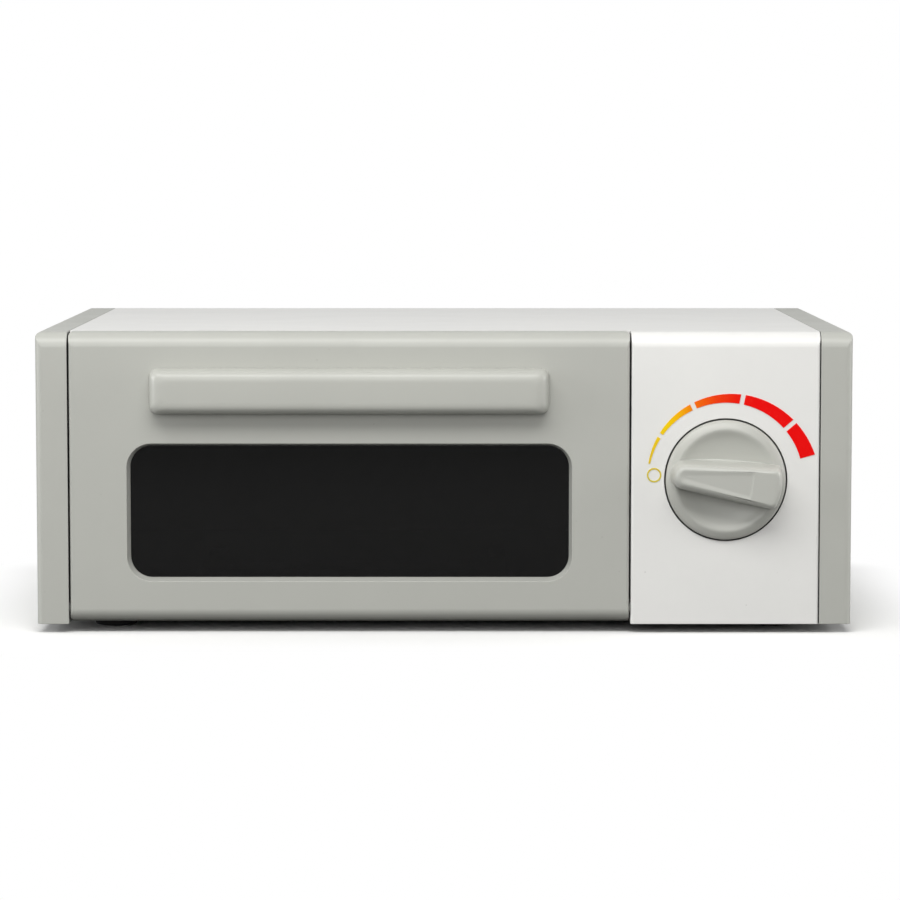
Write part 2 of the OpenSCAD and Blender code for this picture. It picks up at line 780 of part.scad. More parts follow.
module right_end_cap() {
    color(grey) end_cap_body();
}

module oven_liner() {
    x0 = liner_x0 + liner_t;
    x1 = liner_x1 - liner_t;
    groove_y0 = sill_y + groove_start;
    grooves_x = [for (s = [-1, 1]) liner_x + s * groove_span / 2 - groove_w / 2];
    color(liner_grey)
    difference() {
        union() {
            along_y(sill_y, liner_back_y)
                round_rect(liner_x0, floor_z - liner_t, liner_x1, ceiling_z + liner_t, liner_r + liner_t);
            along_y(sill_y, sill_y + liner_t)
                rect(-cap_in_x + fit, deck_z + fit, panel_x0 - fit, ceiling_z + liner_t);
            for (x = grooves_x)
                block([x - liner_t, groove_y0 - liner_t, floor_z - groove_d - liner_t],
                      [x + groove_w + liner_t, groove_y0 + groove_l + liner_t, floor_z - eps]);
            for (p = liner_bosses)
                translate([p.x, p.y, liner_boss_z]) cylinder(r = boss_r, h = floor_z - liner_boss_z - eps);
            for (s = [-1, 1])
                at_lamp(liner_x1 - eps) translate([0, s * led_screw_span / 2, 0])
                    cylinder(r = led_post_r, h = led_standoff + eps);
        }
        difference() {
            along_y(sill_y - over, cavity_back_y) round_rect(x0, floor_z, x1, ceiling_z, liner_r);
            // Raised field between the grooves
            block([liner_x - groove_span / 2 + groove_w, sill_y + groove_start, floor_z - over],
                  [liner_x + groove_span / 2 - groove_w, sill_y + groove_start + field_l, floor_z + field_h]);
        }
        // Fine lines across the raised field
        for (i = [0:field_lines - 1])
            translate([0, sill_y + groove_start + field_l * (i + 0.5) / field_lines, floor_z + field_h])
                block([liner_x - groove_span / 2 + groove_w + field_line_w, -field_line_w / 2, -field_line_d],
                      [liner_x + groove_span / 2 - groove_w - field_line_w, field_line_w / 2, over]);
        for (x = grooves_x)
            along_z(floor_z - groove_d, floor_z + over)
                round_rect(x, groove_y0, x + groove_w, groove_y0 + groove_l, groove_w / 2 - eps);
        for (p = liner_bosses)
            translate([p.x, p.y, liner_boss_z]) pilot(floor_z - liner_boss_z - 1.3);
        at_lamp(liner_x1 - liner_t - over) cylinder(r = lens_r + 0.1, h = liner_t + 2 * over);
        for (s = [-1, 1])
            at_lamp(liner_x1 + 1) translate([0, s * led_screw_span / 2, 0])
                cylinder(r = led_screw_r + pilot_play, h = led_standoff);
    }
}

module feet() {
    color("#3a3b3c")
    for (p = feet_places())
        translate([p.x, p.y, 0]) rotate_extrude()
            polygon([[0, 0], [foot_r - 1, 0], [foot_r - 0.3, 0.3], [foot_r, 1],
                     [foot_r, foot_h + foot_seat], [0, foot_h + foot_seat]]);
}

// The five arcs grow from yellow to red. Each gap is a bar across them.
module heat_scale() {
    span = scale_from - scale_to;
    widest = scale_r + scale_growth * span;
    n = 40;
    inner = [for (i = [0:n]) let (a = scale_from - span * i / n) scale_r * [cos(a), sin(a)]];
    outer = [for (i = [n:-1:0]) let (a = scale_from - span * i / n)
        (scale_r + scale_growth * (scale_from - a) + 0.6 * (1 - i / n)) * [cos(a), sin(a)]];
    color("#e8501c")
    at_knob() linear_extrude(print_t) {
        difference() {
            polygon(concat(inner, outer));
            for (a = gap_angles) rotate(a) rect(scale_r - over, -scale_gap / 2, widest + over, scale_gap / 2);
        }
        rotate(off_angle) translate([off_r, 0]) difference() {
            circle(off_ring_r);
            circle(off_ring_r - off_line);
        }
    }
}

module base_screws() {
    color(steel)
    for (p = base_screw_places())
        translate([p.x, p.y, seat_z - head_h]) screw(screw_bite);
}

module liner_screws() {
    color(steel)
    for (p = liner_bosses)
        translate([p.x, p.y, seat_z - head_h]) screw(floor_z - 1.9 - seat_z);
}

// Outline of the window opening in X and Z, let out by grow
module window_outline(grow, r) {
    round_rect(window_x0 - grow, window_z0 - grow, window_x1 + grow, window_z1 + grow, r);
}

// Window opening of the door's outer half, with a bevel that widens towards the face
module window_cut() {
    r = window_r;
    b = window_bevel;
    face = front_y - eps;
    deep = pane_y0;
    h = pane_y0 - front_y;
    along_y(front_y - over, door_back_y) window_outline(0, r);
    along_x(window_x0 + r, window_x1 - r)
        polygon([[face, window_z0 - b], [face, window_z1 + b], [deep, window_z1], [deep, window_z0]]);
    along_z(window_z0 + r, window_z1 - r)
        polygon([[window_x0 - b, face], [window_x1 + b, face], [window_x1, deep], [window_x0, deep]]);
    for (x = [window_x0 + r, window_x1 - r], z = [window_z0 + r, window_z1 - r])
        translate([x, deep, z]) rotate([90, 0, 0]) cylinder(r1 = r, r2 = r + b, h = h + eps);
}

module door_front() {
    color(grey)
    difference() {
        union() {
            difference() {
                intersection() {
                    along_x(door_x0, door_x1) union() {
                        difference() {
                            rect(front_y, hinge_z, door_back_y, top_z);
                            corner_cut(front_y, top_z, 1, -1, edge_r);
                            corner_cut(door_back_y, top_z, -1, -1, 0.5);
                        }
                        translate([hinge_y, hinge_z]) circle(door_t / 2);
                    }
                    along_y(front_y, door_back_y)
                        round_rect(door_x0, door_z0, door_x1, top_z, door_corner_r);
                    along_z(0, top_z) difference() {
                        rect(door_x0, front_y, door_x1, door_back_y);
                        corner_cut(door_x0, front_y, 1, 1, upright_r);
                        corner_cut(door_x1, front_y, -1, 1, upright_r);
                    }
                }
                block([door_x0 + door_wall, door_skin_y, pocket_z0],
                      [door_x1 - door_wall, door_back_y + over, top_z - door_wall]);
            }
            along_y(door_skin_y - eps, pane_y0)
                window_outline(window_bevel + collar_t, window_r + window_bevel + collar_t);
            for (p = door_bosses)
                translate([p.x, door_panel_y, p.y]) rotate([90, 0, 0])
                    cylinder(r = door_boss_r, h = door_panel_y - door_skin_y + 0.5);
            for (x = [door_x0 - door_gap - wall - 0.8, door_x1 - over])
                translate([x, hinge_y, hinge_z]) rotate([0, 90, 0])
                    cylinder(r = stub_r, h = door_gap + wall + 0.8 + over);
        }
        window_cut();
        for (p = door_bosses)
            translate([p.x, door_panel_y, p.y]) rotate([90, 0, 0])
                translate([0, 0, -eps])
                    cylinder(r = door_screw_r + pilot_play, h = door_panel_y - front_y - 1.2);
        for (x = handle_screws_x)
            translate([x, door_skin_y + over, handle_z]) rotate([90, 0, 0])
                cylinder(r = screw_r + shank_play, h = door_wall + 2 * over);
    }
}

module door_back() {
    color(grey)
    difference() {
        along_y(door_panel_y, door_back_y)
            rect(door_x0 + door_wall + fit, pocket_z0 + fit,
                 door_x1 - door_wall - fit, top_z - door_wall - fit);
        along_y(door_skin_y, door_back_y + over) window_outline(0, window_r);
        along_y(door_back_y - inner_step, door_back_y + over)
            window_outline(inner_step_w, window_r + inner_step_w);
        for (p = door_bosses)
            translate([p.x, door_back_y + over, p.y]) rotate([90, 0, 0]) {
                cylinder(r = door_screw_r + shank_play, h = door_back_t + 2 * over);
                cylinder(r = door_head_r + fit, h = over + door_screw_head);
            }
    }
}

module door_window() {
    color([0.1, 0.1, 0.11, 0.75])
    along_y(pane_y0, pane_y0 + pane_t) window_outline(pane_lap, 2);
}

module door_handle() {
    half = handle_w / 2;
    side = [[front_y, handle_z0], [handle_front_y, handle_z0 + handle_slope_bottom],
            [handle_front_y, handle_z1 - handle_slope_top], [front_y, handle_z1]];
    plan = [[-half, front_y], [half, front_y], [half - handle_slope_end, handle_front_y],
            [handle_slope_end - half, handle_front_y]];
    color("#bfc0b8")
    difference() {
        intersection() {
            along_x(door_x - half, door_x + half)
                polygon(soft_outline(side, [0, handle_edge_r, handle_edge_r, 0], 9));
            translate([door_x, 0, 0]) along_z(handle_z0, handle_z1)
                polygon(soft_outline(plan, [0, 0, handle_edge_r, handle_edge_r], 9));
            along_y(handle_front_y, front_y)
                round_rect(door_x - half, handle_z0, door_x + half, handle_z1, handle_corner_r);
        }
        difference() {
            block([door_x - half + handle_slope_end + handle_wall, handle_front_y + handle_wall,
                   handle_z0 + handle_slope_bottom + handle_wall],
                  [door_x + half - handle_slope_end - handle_wall, front_y + over,
                   handle_z1 - handle_slope_top - handle_wall]);
            for (x = handle_screws_x)
                translate([x, front_y, handle_z]) rotate([90, 0, 0]) cylinder(r = boss_r, h = handle_reach);
        }
        for (x = handle_screws_x)
            translate([x, front_y, handle_z]) rotate([90, 0, 0]) pilot(handle_reach - handle_wall);
    }
}

module door_screws() {
    color(steel)
    for (p = door_bosses)
        translate([p.x, door_back_y, p.y]) rotate([90, 0, 0])
            screw(door_t - door_screw_head - 1.8, door_screw_head, door_head_r, door_screw_r);
}

module handle_screws() {
    color(steel)
    for (x = handle_screws_x)
        translate([x, door_skin_y + head_h, handle_z]) rotate([90, 0, 0])
            screw(door_wall + handle_reach - handle_wall - 0.6);
}

// Outline of the grip, seen from the front, drawn in by e. The pointer end is on the left.
module grip_outline(e) {
    reach = knob_r - grip_inset - e;
    tip = grip_tip_w / 2 - e;
    end = grip_end_w / 2 - e;
    intersection() {
        polygon(soft_outline([[-reach, -tip], [reach, -end], [reach, end], [-reach, tip]],
                             [tip * 0.95, 1.2, 1.2, tip * 0.95], 8));
        circle(reach, $fn = 72);
    }
}

// Grip: drafted sides and a rounded top edge, in layers from the knob's face outwards
module grip() {
    layers = [[0, rim_reach - bowl_depth - 0.5], [0.7, knob_reach - 2.6], [1.0, knob_reach - 1.5],
              [1.6, knob_reach - 0.6], [2.6, knob_reach]];
    hull() {
        for (l = layers)
            translate([0, 0, l.y - eps]) linear_extrude(eps) grip_outline(l.x);
    }
}

module knob() {
    crest = knob_r - rim_w * 0.55;
    inner = knob_r - rim_w;
    skin = 1.8;
    face = rim_reach - bowl_depth;
    color(grey)
    at_knob() difference() {
        union() {
            rotate_extrude($fn = 96)
                polygon(concat([[0, knob_back + skin], [0, face]],
                               [for (i = [1:8]) [inner * i / 8, face + (bowl_depth - 0.5) * pow(i / 8, 3)]],
                               [[crest - 0.9, rim_reach - 0.12], [crest, rim_reach]],
                               [for (a = [70:-14:0])
                                   [crest + (knob_r - crest) * cos(a), rim_reach - 1.9 + 1.9 * sin(a)]],
                               [[knob_r, knob_back], [knob_r - skin, knob_back], [knob_r - skin, face - skin],
                                [knob_r - skin - 1.2, face - skin + 0.5], [stem_r + 1, face - skin]]));
            rotate(-knob_tilt) difference() {
                grip();
                // Shallow scoop along the grip's face
                translate([-1, 0, knob_reach + 11.2]) hull() {
                    for (x = [-9.5, 9.5]) translate([x, 0, 0]) sphere(12, $fn = 48);
                }
            }
            translate([0, 0, rotor_back]) cylinder(r = stem_r, h = -rotor_back + 0.5);
        }
        // Flat on the stem where the rotor sits
        translate([stem_flat, -stem_r - over, rotor_back - over])
            cube([stem_r, 2 * (stem_r + over), rotor_t + fit + over]);
        translate([0, 0, rotor_back]) pilot(screw_bite);
    }
}

module knob_rotor() {
    play = 0.1;
    color("#d8d4c8")
    at_knob() translate([0, 0, rotor_back]) difference() {
        union() {
            cylinder(r = rotor_r, h = rotor_t - 1);
            cylinder(r = stem_r + 3, h = rotor_t);
        }
        difference() {
            translate([0, 0, -over]) cylinder(r = stem_r + play, h = rotor_t + 2 * over);
            translate([stem_flat + play, -stem_r - over, -2 * over])
                cube([stem_r, 2 * (stem_r + over), rotor_t + 4 * over]);
        }
    }
}

// Contact ring on the rotor's back, with three sprung fingers that reach for the circuit board
module wiper() {
    reach = board_in + rotor_back - 1.5 * wiper_t - fit;
    finger_l = 9;
    lean = asin(reach / finger_l);
    color("#c8a04a")
    at_knob() translate([0, 0, rotor_back]) {
        translate([0, 0, -wiper_t]) difference() {
            cylinder(r = rotor_r - 0.5, h = wiper_t);
            translate([0, 0, -over]) cylinder(r = rotor_r - 3.5, h = wiper_t + 2 * over);
        }
        for (a = [0, 120, 240])
            rotate(a) translate([rotor_r - 3.3, 0, -wiper_t]) rotate([-lean, 0, 0])
                translate([0, 0, -wiper_t / 2]) cube([2.6, finger_l, wiper_t]);
    }
}

module knob_screw() {
    color(steel)
    at_knob() translate([0, 0, rotor_back - head_h]) screw(screw_bite - 0.6, head_h, stem_r + 1.2);
}

module circuit_board() {
    color("#2f6b3a")
    difference() {
        along_y(board_y, board_back_y)
            round_rect(panel_x - board_size / 2, knob_z - board_size / 2, panel_x + board_size / 2,
                       knob_z + board_size / 2, 2);
        for (p = board_posts)
            translate([p.x, board_back_y + over, p.y]) rotate([90, 0, 0])
                cylinder(r = screw_r + shank_play, h = board_t + 2 * over);
    }
}

// The sound chip under its drop of resin, a capacitor, two resistors and the lead socket
module board_parts() {
    color("#1d1d1f") {
        translate(chip_place) rotate([-90, 0, 0]) rotate_extrude()
            polygon(concat([[0, 0], [chip_r, 0]],
                           [for (a = [10:16:90]) [chip_r * cos(a), chip_h * sin(a)]]));
        translate(capacitor_place) rotate([-90, 0, 0]) cylinder(r = capacitor_r, h = capacitor_h);
        for (p = resistor_places) block(p, p + resistor_size);
        block(socket_low, socket_low + socket_size);
    }
}

module board_screws() {
    color(steel)
    for (p = board_posts)
        translate([p.x, board_back_y + head_h, p.y]) rotate([90, 0, 0]) screw(board_t + screw_bite - 0.6);
}

module led_board() {
    half = led_screw_span / 2 + 3.5;
    color("#2f6b3a")
    difference() {
        along_x(led_board_x, led_board_x + board_t)
            round_rect(lamp_y - half, lamp_z - 5, lamp_y + half, lamp_z + 5, 1.5);
        for (s = [-1, 1])
            at_lamp(led_board_x - over) translate([0, s * led_screw_span / 2, 0])
                cylinder(r = led_screw_r + shank_play, h = board_t + 2 * over);
    }
}

// The lamp, its dome towards the lens
module led() {
    color([1, 0.62, 0.2, 0.8])
    at_lamp(led_board_x) rotate([180, 0, 0]) rotate_extrude()
        polygon(concat([[0, 0], [led_r + 0.4, 0], [led_r + 0.4, 1], [led_r, 1], [led_r, 3.5]],
                       [for (a = [15:15:90]) [led_r * cos(a), 3.5 + led_r * sin(a)]]));
}

// The lens: a plug through the liner's wall, a rim behind it and a low dome in the cavity
module light_lens() {
    dome = [for (a = [90:-15:15]) [lens_r * cos(a), -liner_t - lens_bulge * sin(a)]];
    color([1, 0.72, 0.3, 0.7])
    at_lamp(liner_x1) rotate_extrude()
        polygon(concat(dome, [[lens_r, -liner_t], [lens_r, 0], [lens_r + lens_rim, 0],
                              [lens_r + lens_rim, 1.2], [0, 1.2]]));
}

module led_screws() {
    color(steel)
    for (s = [-1, 1])
        at_lamp(led_board_x + board_t + head_h) translate([0, s * led_screw_span / 2, 0]) rotate([180, 0, 0])
            screw(board_t + led_standoff - 2.5, head_h, led_post_r, led_screw_r);
}

// Pressed steel basket with its flange
module speaker_frame() {
    z0 = speaker_ledge + 0.4;
    z1 = speaker_seat;
    neck = magnet_r;
    depth = speaker_depth - magnet_t;
    color("#8a8c8e")
    at_speaker() rotate_extrude()
        polygon([[speaker_r - 3.4, z0], [speaker_r, z0], [speaker_r, z1], [speaker_r - 2.2, z1],
                 [neck + 0.8, depth - 0.8], [neck + 0.8, depth], [neck - 3, depth], [neck - 3, depth - 0.8],
                 [neck, depth - 0.8]]);
}

module speaker_cone() {
    z = speaker_ledge;
    cap_r = magnet_r - 3.1;
    color("#4a4a48")
    at_speaker() rotate_extrude()
        polygon([[speaker_r - 1.5, z], [speaker_r - 1.5, z + 0.4], [speaker_r - 4, z + 0.4],
                 [cap_r + 0.1, z + 5], [cap_r - 2.1, z + 3.6], [0, z + 3], [0, z + 2.6],
                 [cap_r - 1.9, z + 3.1], [cap_r, z + 4.4], [speaker_r - 4.2, z]]);
}

module speaker_magnet() {
    color("#55575a")
    at_speaker() translate([0, 0, speaker_depth - magnet_t]) cylinder(r = magnet_r, h = magnet_t);
}

module speaker_screws() {
    color(steel)
    at_speaker()
        for (s = [-1, 1])
            translate([s * speaker_post, 0, speaker_seat + head_h]) rotate([180, 0, 0])
                screw(speaker_seat + 0.4, head_h, boss_r + 0.9);
}

module battery_box() {
    rim_z = deck_z + box_wall;
    hx = box_half_x + box_wall;
    hy = box_half_y + box_wall;
    color("#2b2c2e")
    translate([box_x, box_y, 0]) difference() {
        union() {
            block([-hx, -hy, deck_z], [hx, hy, box_roof_z]);
            block([-hx - box_rim, -hy - cover_lug - box_rim, deck_z],
                  [hx + box_rim, hy + cover_lug + box_rim, rim_z]);
            for (s = [-1, 1])
                translate([0, s * cover_screw_y, deck_z]) cylinder(r = boss_r + 0.4, h = box_lug_h);
            for (s = [-1, 1])
                translate([s * box_ear_x, 0, box_ear_z]) cylinder(r = boss_r, h = box_ear_t);
            block([-box_ear_x, -boss_r, box_ear_z], [box_ear_x, boss_r, box_ear_z + box_ear_t]);
        }
        difference() {
            block([-box_half_x, -box_half_y, deck_z - over], [box_half_x, box_half_y, box_top_z]);
            // Rib that keeps the two cells apart
            block([-box_rib_t / 2, -box_half_y - over, cell_z + cell_r / 2],
                  [box_rib_t / 2, box_half_y + over, box_top_z + over]);
        }
        for (s = [-1, 1]) {
            translate([0, s * cover_screw_y, deck_z]) pilot(box_lug_h - 1);
            translate([s * box_ear_x, 0, 0]) {
                cylinder(r = boss_r + fit, h = box_ear_z);
                cylinder(r = screw_r + shank_play, h = box_ear_z + box_ear_t + over);
            }
        }
    }
}

// Two cells side by side, with their plus ends opposite ways
module batteries() {
    nub = 1.2;
    color("#3f6f9a")
    for (s = [-1, 1])
        translate([box_x + s * cell_pitch / 2, box_y, cell_z]) rotate([s * 90, 0, 0])
            translate([0, 0, -box_half_y + contact_t + spring_room]) rotate_extrude()
                polygon([[0, 0], [cell_r - 0.5, 0], [cell_r, 0.5], [cell_r, cell_l - nub - 0.5],
                         [cell_r - 0.5, cell_l - nub], [2.6, cell_l - nub], [2.6, cell_l], [0, cell_l]]);
}

// Points of a ring of the spring's wire, at a fraction t of its length
function spring_ring(t, k) =
    let (a = 360 * spring_turns * t,
         r = spring_tip_r + (spring_foot_r - spring_tip_r) * (1 - t),
         z = spring_wire_r + 0.05 + t * (spring_room - 2 * spring_wire_r - 0.3))
    [for (j = [0:k - 1]) let (b = 360 * j / k)
        let (away = r + spring_wire_r * cos(b))
        [away * cos(a), away * sin(a), z + spring_wire_r * sin(b)]];

// One conical spring, a single unbroken wire
module spring() {
    k = 6;
    n = 14 * spring_turns;
    rings = [for (i = [0:n]) each spring_ring(i / n, k)];
    sides = [for (i = [0:n - 1], j = [0:k - 1]) each
        let (a = i * k + j, b = i * k + (j + 1) % k) [[a, b, b + k], [a, b + k, a + k]]];
    polyhedron(rings, concat(sides, [[for (j = [0:k - 1]) k - 1 - j], [for (j = [0:k - 1]) n * k + j]]));
}

module battery_springs() {
    color(steel)
    for (s = [-1, 1])
        translate([box_x + s * cell_pitch / 2, box_y, cell_z]) rotate([s * 90, 0, 0])
            translate([0, 0, -box_half_y + contact_t]) spring();
}

module battery_contacts() {
    color("#c9c9cc")
    for (s = [-1, 1], e = [-1, 1])
        translate([box_x + s * cell_pitch / 2, box_y + e * (box_half_y - contact_t / 2), cell_z])
            cube([11, contact_t, 11], center = true);
}

module battery_box_screws() {
    color(steel)
    for (s = [-1, 1])
        translate([box_x + s * box_ear_x, box_y, box_ear_z + box_ear_t + head_h]) rotate([180, 0, 0])
            screw(box_ear_t + box_ear_z - bottom_z - 1.2);
}

module battery_cover() {
    grip_groove_pitch = 3.2;
    color(grey)
    translate([box_x, box_y, 0]) difference() {
        along_z(bottom_z, bottom_z + cover_t)
            round_rect(-cover_half_x, -cover_half_y, cover_half_x, cover_half_y, 2);
        for (s = [-1, 1]) {
            translate([0, s * cover_screw_y, 0]) cylinder(r = screw_r + shank_play, h = deck_z + over);
            translate([0, s * cover_screw_y, 0]) cylinder(r = head_r + fit, h = seat_z);
        }
        // Finger grooves across the cover
        for (i = [-3:3])
            translate([0, i * grip_groove_pitch, bottom_z]) rotate([0, 90, 0])
                cylinder(r = 0.6, h = 18, center = true, $fn = 24);
    }
}

module cover_screws() {
    color(steel)
    for (s = [-1, 1])
        translate([box_x, box_y + s * cover_screw_y, seat_z - head_h]) screw(box_lug_h - 2.2);
}

// Point on a smooth curve between b and c, at t from 0 to 1
function curve_point(a, b, c, d, t) =
    ((2 * b) + (c - a) * t + (2 * a - 5 * b + 4 * c - d) * t * t + (3 * b - a - 3 * c + d) * t * t * t) / 2;

// Smooth curve through a route's points
function smooth_route(route, steps) =
    let (k = len(route) - 1)
    concat([for (i = [0:k - 1], j = [0:steps - 1])
        let (a = i > 0 ? route[i - 1] : 2 * route[0] - route[1],
             d = i < k - 1 ? route[i + 2] : 2 * route[k] - route[k - 1])
        curve_point(a, route[i], route[i + 1], d, j / steps)], [route[k]]);

// One lead along a route. The route never runs along the vector aside.
module lead(route, aside) {
    sides = 6;
    pts = smooth_route(route, 4);
    k = len(pts) - 1;
    rings = [for (i = [0:k]) each
        let (along = i == 0 ? route[1] - route[0] : i == k ? pts[k] - pts[k - 1] : pts[i + 1] - pts[i - 1],
             t = along / norm(along),
             u = cross(t, aside) / norm(cross(t, aside)),
             v = cross(t, u))
        [for (j = [0:sides - 1]) pts[i] + lead_r * (u * cos(60 * j) + v * sin(60 * j))]];
    walls = [for (i = [0:k - 1], j = [0:sides - 1]) each
        let (a = i * sides + j, b = i * sides + (j + 1) % sides)
        [[a, b + sides, b], [a, a + sides, b + sides]]];
    caps = [[for (j = [0:sides - 1]) j], [for (j = [0:sides - 1]) k * sides + sides - 1 - j]];
    polyhedron(rings, concat(walls, caps));
}

module speaker_leads() {
    color("#2a2a2c")
    for (s = [0, 1])
        lead(speaker_route(panel_x - 1.5 + 3 * s, socket_low.x + 2.3 + 2.6 * s), [1, 0, 0]);
}

module battery_leads() {
    color("#b03028")
    for (s = [0, 1])
        lead(battery_route(box_x + 9.5 + 3 * s, socket_low.x + 8.2 + 2.6 * s), [1, 0, 0]);
}

module led_leads() {
    color("#c9a23a")
    for (s = [-1, 1]) lead(led_route(s), [0, 0, 1]);
}

body_shell();
base_plate();
left_end_cap();
right_end_cap();
oven_liner();
feet();
heat_scale();
base_screws();
liner_screws();
door_front();
door_back();
door_window();
door_handle();
door_screws();
handle_screws();
knob();
knob_rotor();
wiper();
knob_screw();
circuit_board();
board_parts();
board_screws();
led_board();
led();
light_lens();
led_screws();
speaker_frame();
speaker_cone();
speaker_magnet();
speaker_screws();
battery_box();
batteries();
battery_springs();
battery_contacts();
battery_box_screws();
battery_cover();
cover_screws();
speaker_leads();
battery_leads();
led_leads();
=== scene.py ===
# Toy oven: looks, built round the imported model
import math
import random
import bpy
import bmesh
from mathutils import Matrix, Vector


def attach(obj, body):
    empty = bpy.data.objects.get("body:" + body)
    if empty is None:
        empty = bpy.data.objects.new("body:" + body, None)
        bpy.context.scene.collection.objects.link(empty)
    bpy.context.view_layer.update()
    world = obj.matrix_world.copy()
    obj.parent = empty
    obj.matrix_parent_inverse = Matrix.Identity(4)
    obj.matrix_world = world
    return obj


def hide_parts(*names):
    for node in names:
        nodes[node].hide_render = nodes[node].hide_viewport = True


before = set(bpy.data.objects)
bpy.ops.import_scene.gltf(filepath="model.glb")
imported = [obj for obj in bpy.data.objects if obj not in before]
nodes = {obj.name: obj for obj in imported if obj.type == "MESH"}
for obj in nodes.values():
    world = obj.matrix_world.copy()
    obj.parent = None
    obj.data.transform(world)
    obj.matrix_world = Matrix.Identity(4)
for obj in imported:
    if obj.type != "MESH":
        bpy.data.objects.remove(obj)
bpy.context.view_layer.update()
random.seed(11)
mm = 0.001
seam = 0.000002
pureWhite = (1.0, 1.0, 1.0)
print("frame loaded:", len(nodes), "nodes")

# Camera, lights and floor
studio = {
    "cameraAt": (0.002, -1.2340, 0.1618),
    "cameraAim": (0.002, -0.0815, 0.061),
    "lensMm": 140.0,
    "sensorMm": 36.0,
    "clipNear": 0.02,
    "roomGlow": 0.17,
    "roomGloss": 0.42,
    "roomTint": (0.98, 0.99, 1.0),
    "floorTone": (0.20, 0.20, 0.197),
    "floorPale": (0.95, 0.95, 0.945),
    "floorRough": 0.9,
    "floorGloss": 0.1,
    "floorHalf": 8.0,
    "floorDrop": 0.00005,
    "footprint": (0.135, 0.09),
    "fadeOver": (0.0, 0.04),
    # name: place, aim, width and height in metres, watts, tint
    "lamps": {
        "keyLamp": ((-0.08, -0.51, 0.61), (0.0, -0.06, 0.06), (0.9, 0.30), 4.7, (1.0, 0.995, 0.98)),
        "frontLamp": ((-0.1, -1.6, 0.55), (0.0, 0.0, 0.07), (1.0, 0.6), 6.0, (1.0, 0.995, 0.985)),
        "leftLamp": ((-1.1, -0.20, 0.32), (0.0, 0.0, 0.05), (0.7, 0.5), 6.0, (0.99, 0.995, 1.0)),
        "rightLamp": ((1.1, -0.05, 0.32), (0.0, 0.0, 0.05), (0.7, 0.5), 6.5, (1.0, 0.995, 0.985)),
        "backLamp": ((-0.2, 1.15, 0.30), (0.0, 0.0, 0.05), (1.2, 0.5), 8.0, (1.0, 1.0, 1.0)),
    },
}


def aimedAt(place, target):
    return (Vector(target) - Vector(place)).to_track_quat("-Z", "Y").to_euler()


def newObject(name, data):
    thing = bpy.data.objects.new(name, data)
    bpy.context.scene.collection.objects.link(thing)
    return thing


def meshFrom(name, bm):
    mesh = bpy.data.meshes.new(name)
    bm.to_mesh(mesh)
    bm.free()
    return mesh


def addCamera(s):
    data = bpy.data.cameras.new("photoCamera")
    data.lens = s["lensMm"]
    data.sensor_width = s["sensorMm"]
    data.clip_start = s["clipNear"]
    camera = newObject("photoCamera", data)
    camera.location = s["cameraAt"]
    camera.rotation_euler = aimedAt(s["cameraAt"], s["cameraAim"])
    bpy.context.scene.camera = camera


def addLamps(s):
    for name, (place, target, size, watts, tint) in s["lamps"].items():
        data = bpy.data.lights.new(name, "AREA")
        data.shape = "RECTANGLE"
        data.size, data.size_y = size
        data.energy = watts
        data.color = tint
        lamp = newObject(name, data)
        lamp.location = place
        lamp.rotation_euler = aimedAt(place, target)
        # Seen at a low angle, the top would mirror this lamp and clip
        lamp.visible_glossy = name != "backLamp"


def addNode(tree, kind, **values):
    node = tree.nodes.new(kind)
    for key, value in values.items():
        setattr(node, key, value)
    return node


def plug(tree, source, target):
    tree.links.new(source, target)


def setInputs(node, values):
    for label, value in values.items():
        node.inputs[label].default_value = value


# A number and a colour are set, and anything else is linked
def feed(tree, value, socket):
    if isinstance(value, tuple):
        socket.default_value = (*value, 1.0)
    elif isinstance(value, (int, float)):
        socket.default_value = value
    elif value is not None:
        plug(tree, value, socket)


def mathNode(tree, operation, first, second=None):
    node = addNode(tree, "ShaderNodeMath", operation=operation)
    for socket, value in zip(node.inputs, (first, second)):
        feed(tree, value, socket)
    return node.outputs[0]


def times(tree, first, second):
    return mathNode(tree, "MULTIPLY", first, second)


def mapNode(tree, value, fromLow, fromHigh, toLow=0.0, toHigh=1.0, smooth=False):
    node = addNode(tree, "ShaderNodeMapRange", clamp=True)
    node.interpolation_type = "SMOOTHSTEP" if smooth else "LINEAR"
    for socket, number in zip(node.inputs[1:5], (fromLow, fromHigh, toLow, toHigh)):
        socket.default_value = number
    plug(tree, value, node.inputs[0])
    return node.outputs[0]


def mixColor(tree, mask, first, second):
    node = addNode(tree, "ShaderNodeMix", data_type="RGBA")
    for i, value in ((0, mask), (6, first), (7, second)):
        feed(tree, value, node.inputs[i])
    return node.outputs[2]


def mixShader(tree, mask, first, second):
    node = addNode(tree, "ShaderNodeMixShader")
    for socket, source in zip(node.inputs, (mask, first, second)):
        plug(tree, source, socket)
    return node.outputs[0]


def objectPlace(tree):
    return addNode(tree, "ShaderNodeTexCoord").outputs["Object"]


def glowNode(tree, kind, tint, strength=1.0):
    node = addNode(tree, "ShaderNode" + kind)
    node.inputs[0].default_value = (*tint, 1.0)
    node.inputs[1].default_value = strength
    return node.outputs[0]


def splitInto(tree, kind, value):
    node = addNode(tree, "ShaderNodeSeparate" + kind)
    plug(tree, value, node.inputs[0])
    return node.outputs


def newMaterial(name):
    material = bpy.data.materials.new(name)
    material.use_nodes = True
    return material, material.node_tree, material.node_tree.nodes["Principled BSDF"]


